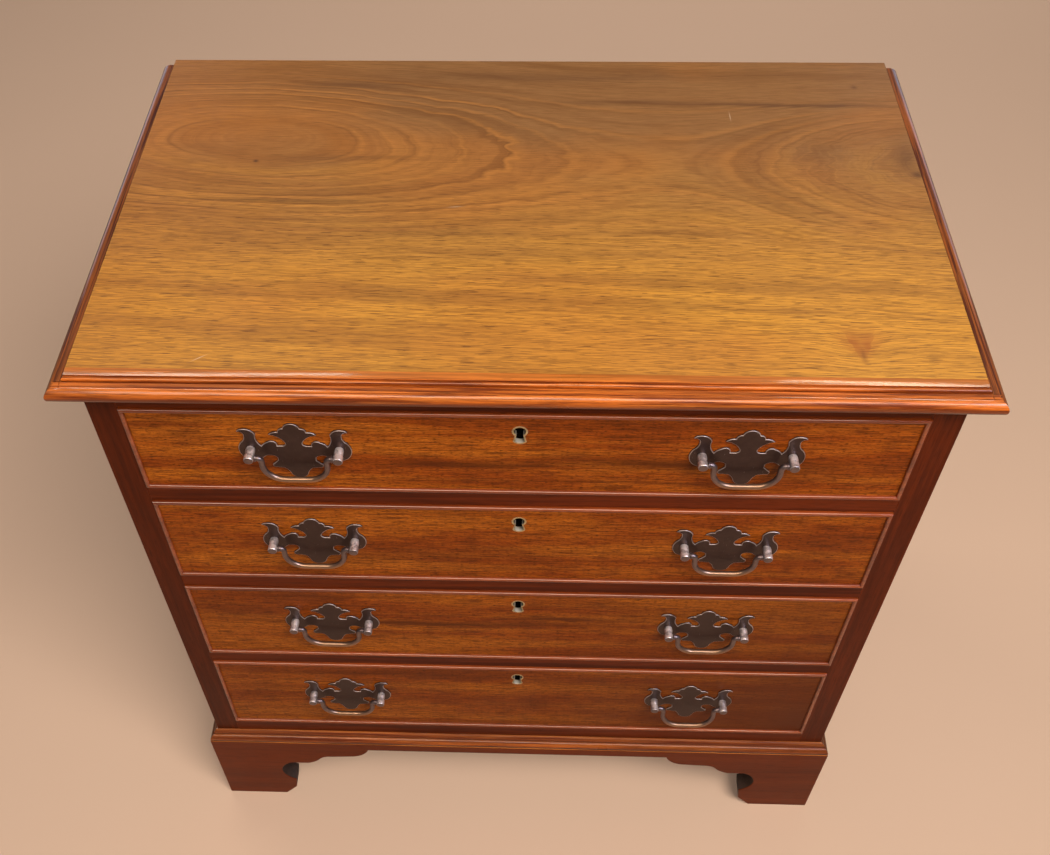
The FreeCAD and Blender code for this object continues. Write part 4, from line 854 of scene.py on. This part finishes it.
class CHEST_OT_plates(bpy.types.Operator):
    """Model the back plates with a rounded rim"""
    bl_idname = "chest.plates"
    bl_label = "Back plates"

    def execute(self, context):
        rim = context.scene.chest_brass.plate_rim
        for number in DRAWERS:
            node = f"drawer_{number}_back_plates"
            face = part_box(node)[0].y
            bm = merged_copy(node)
            front = [
                edge for edge in sharp_edges(bm)
                if all(abs(vert.co.y - face) < 1e-5 for vert in edge.verts)
            ]
            soften(bm, front, rim, segments=3, clamp=False)
            settle(bm, node + "_rimmed", node, "plate")
        return {"FINISHED"}


def extended(bm, ring, move, scale=1.0):
    """Carry a ring of edges on by a step, swelling or narrowing it about its own middle."""
    grown = bmesh.ops.extrude_edge_only(bm, edges=ring)["geom"]
    verts = [item for item in grown if isinstance(item, bmesh.types.BMVert)]
    bmesh.ops.translate(bm, verts=verts, vec=move)
    middle = sum((vert.co for vert in verts), Vector()) / len(verts)
    bmesh.ops.scale(bm, verts=verts, vec=(1.0, scale, scale), space=Matrix.Translation(-middle))
    return [item for item in grown if isinstance(item, bmesh.types.BMEdge) and item.is_boundary]


def turned(bm, ring, centre, angle, steps):
    """Carry a ring of edges round a bend in the plane of the bail."""
    made = bmesh.ops.spin(bm, geom=ring, cent=centre, axis=(0, 1, 0), angle=angle, steps=steps)["geom_last"]
    return [item for item in made if isinstance(item, bmesh.types.BMEdge)]


def bail_shape(settings):
    """A bail about its pivot line: a wire hoop with elbows, rounded collars and pins."""
    bm = bmesh.new()
    lying = Matrix.Translation((0, 0, -settings.drop)) @ Matrix.Rotation(math.pi / 2, 4, "Y")
    bmesh.ops.create_circle(bm, segments=24, radius=settings.wire, matrix=lying)
    ring = list(bm.edges)
    flat = settings.limb - settings.corner
    for _ in range(3):
        ring = extended(bm, ring, (flat / 3, 0, 0))
    ring = turned(bm, ring, (flat, 0, settings.corner - settings.drop), -math.pi / 2, 12)
    rise = settings.drop - settings.corner - settings.elbow
    ring = extended(bm, ring, (0, 0, rise))
    bend = settings.limb + settings.elbow
    ring = turned(bm, ring, (bend, 0, -settings.elbow), math.pi / 2, 8)
    # along the collar and its pin: each step, and how much the ring swells or narrows there
    collar = [
        (0.00005, 1.06), (0.00010, 1.08), (0.00020, 1.06), (0.00030, 1.03), (0.00030, 1.0),
        (0.00020, 0.97), (0.00012, 0.93), (0.00008, 0.88), (0.00001, 0.56), (0.0034, 1.0), (0.0002, 0.8),
    ]
    for step, scale in collar:
        ring = extended(bm, ring, (step, 0, 0), scale)
    bmesh.ops.contextual_create(bm, geom=ring)
    bmesh.ops.mirror(bm, geom=bm.verts[:] + bm.edges[:] + bm.faces[:], merge_dist=1e-6, axis="X")
    bmesh.ops.remove_doubles(bm, verts=bm.verts, dist=1e-6)
    bmesh.ops.recalc_face_normals(bm, faces=bm.faces)
    worn = bm.verts.layers.float.new("worn")
    for vert in bm.verts:
        low = (-vert.co.z - 0.6 * settings.drop) / (0.4 * settings.drop)
        vert[worn] = min(max(low, 0.0), 1.0)
    return bm


class CHEST_OT_bails(bpy.types.Operator):
    """Model the eight bails, which hang from their posts"""
    bl_idname = "chest.bails"
    bl_label = "Bails"

    def execute(self, context):
        settings = context.scene.chest_brass
        for number in DRAWERS:
            for side in ("left", "right"):
                node = f"drawer_{number}_bail_{side}"
                joint = HINGES[node]
                hanging = (joint["range_deg"][0] + joint["range_deg"][1]) / 2 - 90
                bm = bail_shape(settings)
                place = Matrix.Translation(joint["pos_m"]) @ Matrix.Rotation(math.radians(hanging), 4, "X")
                bmesh.ops.transform(bm, matrix=place, verts=bm.verts)
                shade(bm, 40)
                settle(bm, node + "_wire", node, "handle")
        return {"FINISHED"}


class CHEST_OT_posts(bpy.types.Operator):
    """Model the posts and their nuts, silvery where hands have worn them, with a painted highlight on their upper
    faces
    """
    bl_idname = "chest.posts"
    bl_label = "Posts"

    def execute(self, context):
        for number in DRAWERS:
            node = f"drawer_{number}_posts"
            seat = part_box(f"drawer_{number}_back_plates")[0].y + 0.0005
            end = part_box(node)[0].y + 0.0004
            smoothed(node, "handle", lambda co: 1.0 if end <= co.y < seat else 0.0)
        return {"FINISHED"}


# name, place, aim, size, watts, tint, whether gloss mirrors it, whether it lights plain surfaces
LAMPS = (
    ("lamp_main", (0.85, -1.40, 2.65), (0.0, -0.15, 0.55), (1.3, 1.0), 73.0, (1.0, 0.95, 0.88), False, True),
    ("lamp_sheen", (-0.10, -1.25, 2.45), (0.0, -0.20, 0.60), (2.0, 0.7), 38.0, (1.0, 0.83, 0.64), True, False),
    ("lamp_window", (1.25, -0.82, 1.95), (0.0, -0.22, 0.45), (0.8, 0.7), 30.0, (0.72, 0.77, 1.0), True, False),
    ("lamp_wall_left", (-1.05, 1.15, 0.95), (-0.37, 0, 0.77), (0.9, 0.6), 2.4, (0.82, 0.84, 1.0), True, False),
    ("lamp_wall_right", (1.05, 1.15, 0.95), (0.37, 0, 0.77), (0.9, 0.6), 2.4, (0.82, 0.84, 1.0), True, False),
    ("lamp_left", (-0.80, 0.66, 2.40), (-0.25, -0.22, 0.78), (0.85, 0.14), 7.5, (1.0, 0.91, 0.78), True, True),
    ("lamp_right", (0.86, 0.66, 2.40), (0.25, -0.22, 0.78), (0.55, 0.14), 6.5, (1.0, 0.88, 0.70), True, False),
    ("lamp_low", (-0.5, -3.0, 1.1), (0.0, 0.0, 0.35), (2.6, 1.2), 17.0, (1.0, 0.93, 0.86), False, True),
    ("lamp_back", (0.4, 3.0, 1.0), (0.0, 0.2, 0.4), (2.4, 1.2), 14.0, (1.0, 0.95, 0.90), False, True),
)
# the camera's right, up and back as columns, and its place
CAMERA = (
    (0.99933, -0.01535, 0.03337, 0.00426),
    (0.03316, 0.76791, -0.63970, -0.85690),
    (-0.01581, 0.64038, 0.76790, 1.45808),
    (0.0, 0.0, 0.0, 1.0),
)
CAMERA_SHIFT = (0.03788, 0.02334)
AMBIENT = (0.95, 0.93, 0.92, 1.0)
AMBIENT_STRENGTH = 0.12


def lay_floor(settings):
    """A pale floor, darker to the light that bounces off it onto the chest."""
    finish = Finish("floor_paint")
    path = finish.add("ShaderNodeLightPath", {}).outputs
    seen = finish.math("MAXIMUM", path["Is Camera Ray"], path["Is Glossy Ray"])
    seen = finish.math("MAXIMUM", seen, path["Is Transmission Ray"])
    mottle = finish.cells(finish.place(), 3.0, 3.0, 3.0, detail=3)
    share = finish.span(mottle, 0.3, 0.7, 0.0, 0.12)
    pale = finish.blend(share, opaque(settings.floor), opaque(settings.floor_mottle))
    paint = finish.blend(seen, opaque(settings.bounce), pale)
    glow = finish.times(path["Is Camera Ray"], 0.14)
    finish.finish(paint, 0.9, Specular_IOR_Level=0.1, Emission_Color=pale, Emission_Strength=glow)
    bm = bmesh.new()
    bmesh.ops.create_grid(bm, x_segments=1, y_segments=1, size=9.0)
    mesh = bpy.data.meshes.new("floor")
    bm.to_mesh(mesh)
    bm.free()
    mesh.materials.append(finish.material)
    floor = placed("floor", mesh)


def hang_lamp(name, place, aim, size, power, tint, mirrored, lights):
    """A rectangular soft lamp that faces a point."""
    data = bpy.data.lights.new(name, "AREA")
    data.shape = "RECTANGLE"
    data.size, data.size_y = size
    data.energy = power
    data.color = tint
    piece = placed(name, data)
    piece.visible_glossy = mirrored
    piece.visible_diffuse = lights
    piece.visible_camera = False
    facing = (Vector(aim) - Vector(place)).to_track_quat("-Z", "Y").to_matrix().to_4x4()
    piece.matrix_world = Matrix.Translation(place) @ facing


def build_world(settings):
    """Faint even light all round, and a pale backdrop where the camera sees past the floor."""
    world = bpy.data.worlds.new("studio")
    world.use_nodes = True
    nodes, links = world.node_tree.nodes, world.node_tree.links
    ambient, backdrop = nodes["Background"], nodes.new("ShaderNodeBackground")
    ambient.inputs["Color"].default_value = AMBIENT
    ambient.inputs["Strength"].default_value = AMBIENT_STRENGTH
    backdrop.inputs["Color"].default_value = opaque(settings.backdrop)
    either = nodes.new("ShaderNodeMixShader")
    links.new(nodes.new("ShaderNodeLightPath").outputs["Is Camera Ray"], either.inputs[0])
    links.new(ambient.outputs[0], either.inputs[1])
    links.new(backdrop.outputs[0], either.inputs[2])
    links.new(either.outputs[0], nodes["World Output"].inputs["Surface"])
    return world


def place_camera(settings):
    """The camera of the main view."""
    data = bpy.data.cameras.new("camera")
    data.lens = settings.lens
    data.sensor_width = 36.0
    data.shift_x, data.shift_y = CAMERA_SHIFT
    camera = placed("camera", data)
    camera.matrix_world = Matrix(CAMERA)
    return camera


class CHEST_OT_stage(bpy.types.Operator):
    """Set up the floor, the lamps, the world and the camera"""
    bl_idname = "chest.stage"
    bl_label = "Stage"

    def execute(self, context):
        scene = context.scene
        lay_floor(scene.chest_stage)
        for row in LAMPS:
            hang_lamp(*row)
        scene.world = build_world(scene.chest_stage)
        scene.view_settings.view_transform = "Standard"
        scene.camera = place_camera(scene.chest_stage)
        return {"FINISHED"}


class CHEST_PT_panel(bpy.types.Panel):
    """Sizes, colours and a button for each step"""
    bl_idname = "CHEST_PT_panel"
    bl_label = "Bachelor's chest"
    bl_space_type = "VIEW_3D"
    bl_region_type = "UI"
    bl_category = "Chest"

    def draw(self, context):
        for settings in (context.scene.chest_wood, context.scene.chest_brass, context.scene.chest_stage):
            box = self.layout.box()
            for name in settings.__annotations__:
                box.prop(settings, name)
        for operator in OPERATORS:
            self.layout.operator(operator.bl_idname)


OPERATORS = (
    CHEST_OT_top,
    CHEST_OT_case,
    CHEST_OT_plinth,
    CHEST_OT_drawers,
    CHEST_OT_locks,
    CHEST_OT_plates,
    CHEST_OT_posts,
    CHEST_OT_bails,
    CHEST_OT_stage,
)
CLASSES = (WoodSettings, BrassSettings, StageSettings, *OPERATORS, CHEST_PT_panel)


def register():
    for each in CLASSES:
        bpy.utils.register_class(each)
    bpy.types.Scene.chest_wood = PointerProperty(type=WoodSettings)
    bpy.types.Scene.chest_brass = PointerProperty(type=BrassSettings)
    bpy.types.Scene.chest_stage = PointerProperty(type=StageSettings)


def unregister():
    del bpy.types.Scene.chest_stage
    del bpy.types.Scene.chest_brass
    del bpy.types.Scene.chest_wood
    for each in reversed(CLASSES):
        bpy.utils.unregister_class(each)


def main():
    register()
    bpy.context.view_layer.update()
    for operator in OPERATORS:
        group, name = operator.bl_idname.split(".")
        getattr(getattr(bpy.ops, group), name)()


if __name__ == "__main__":
    main()
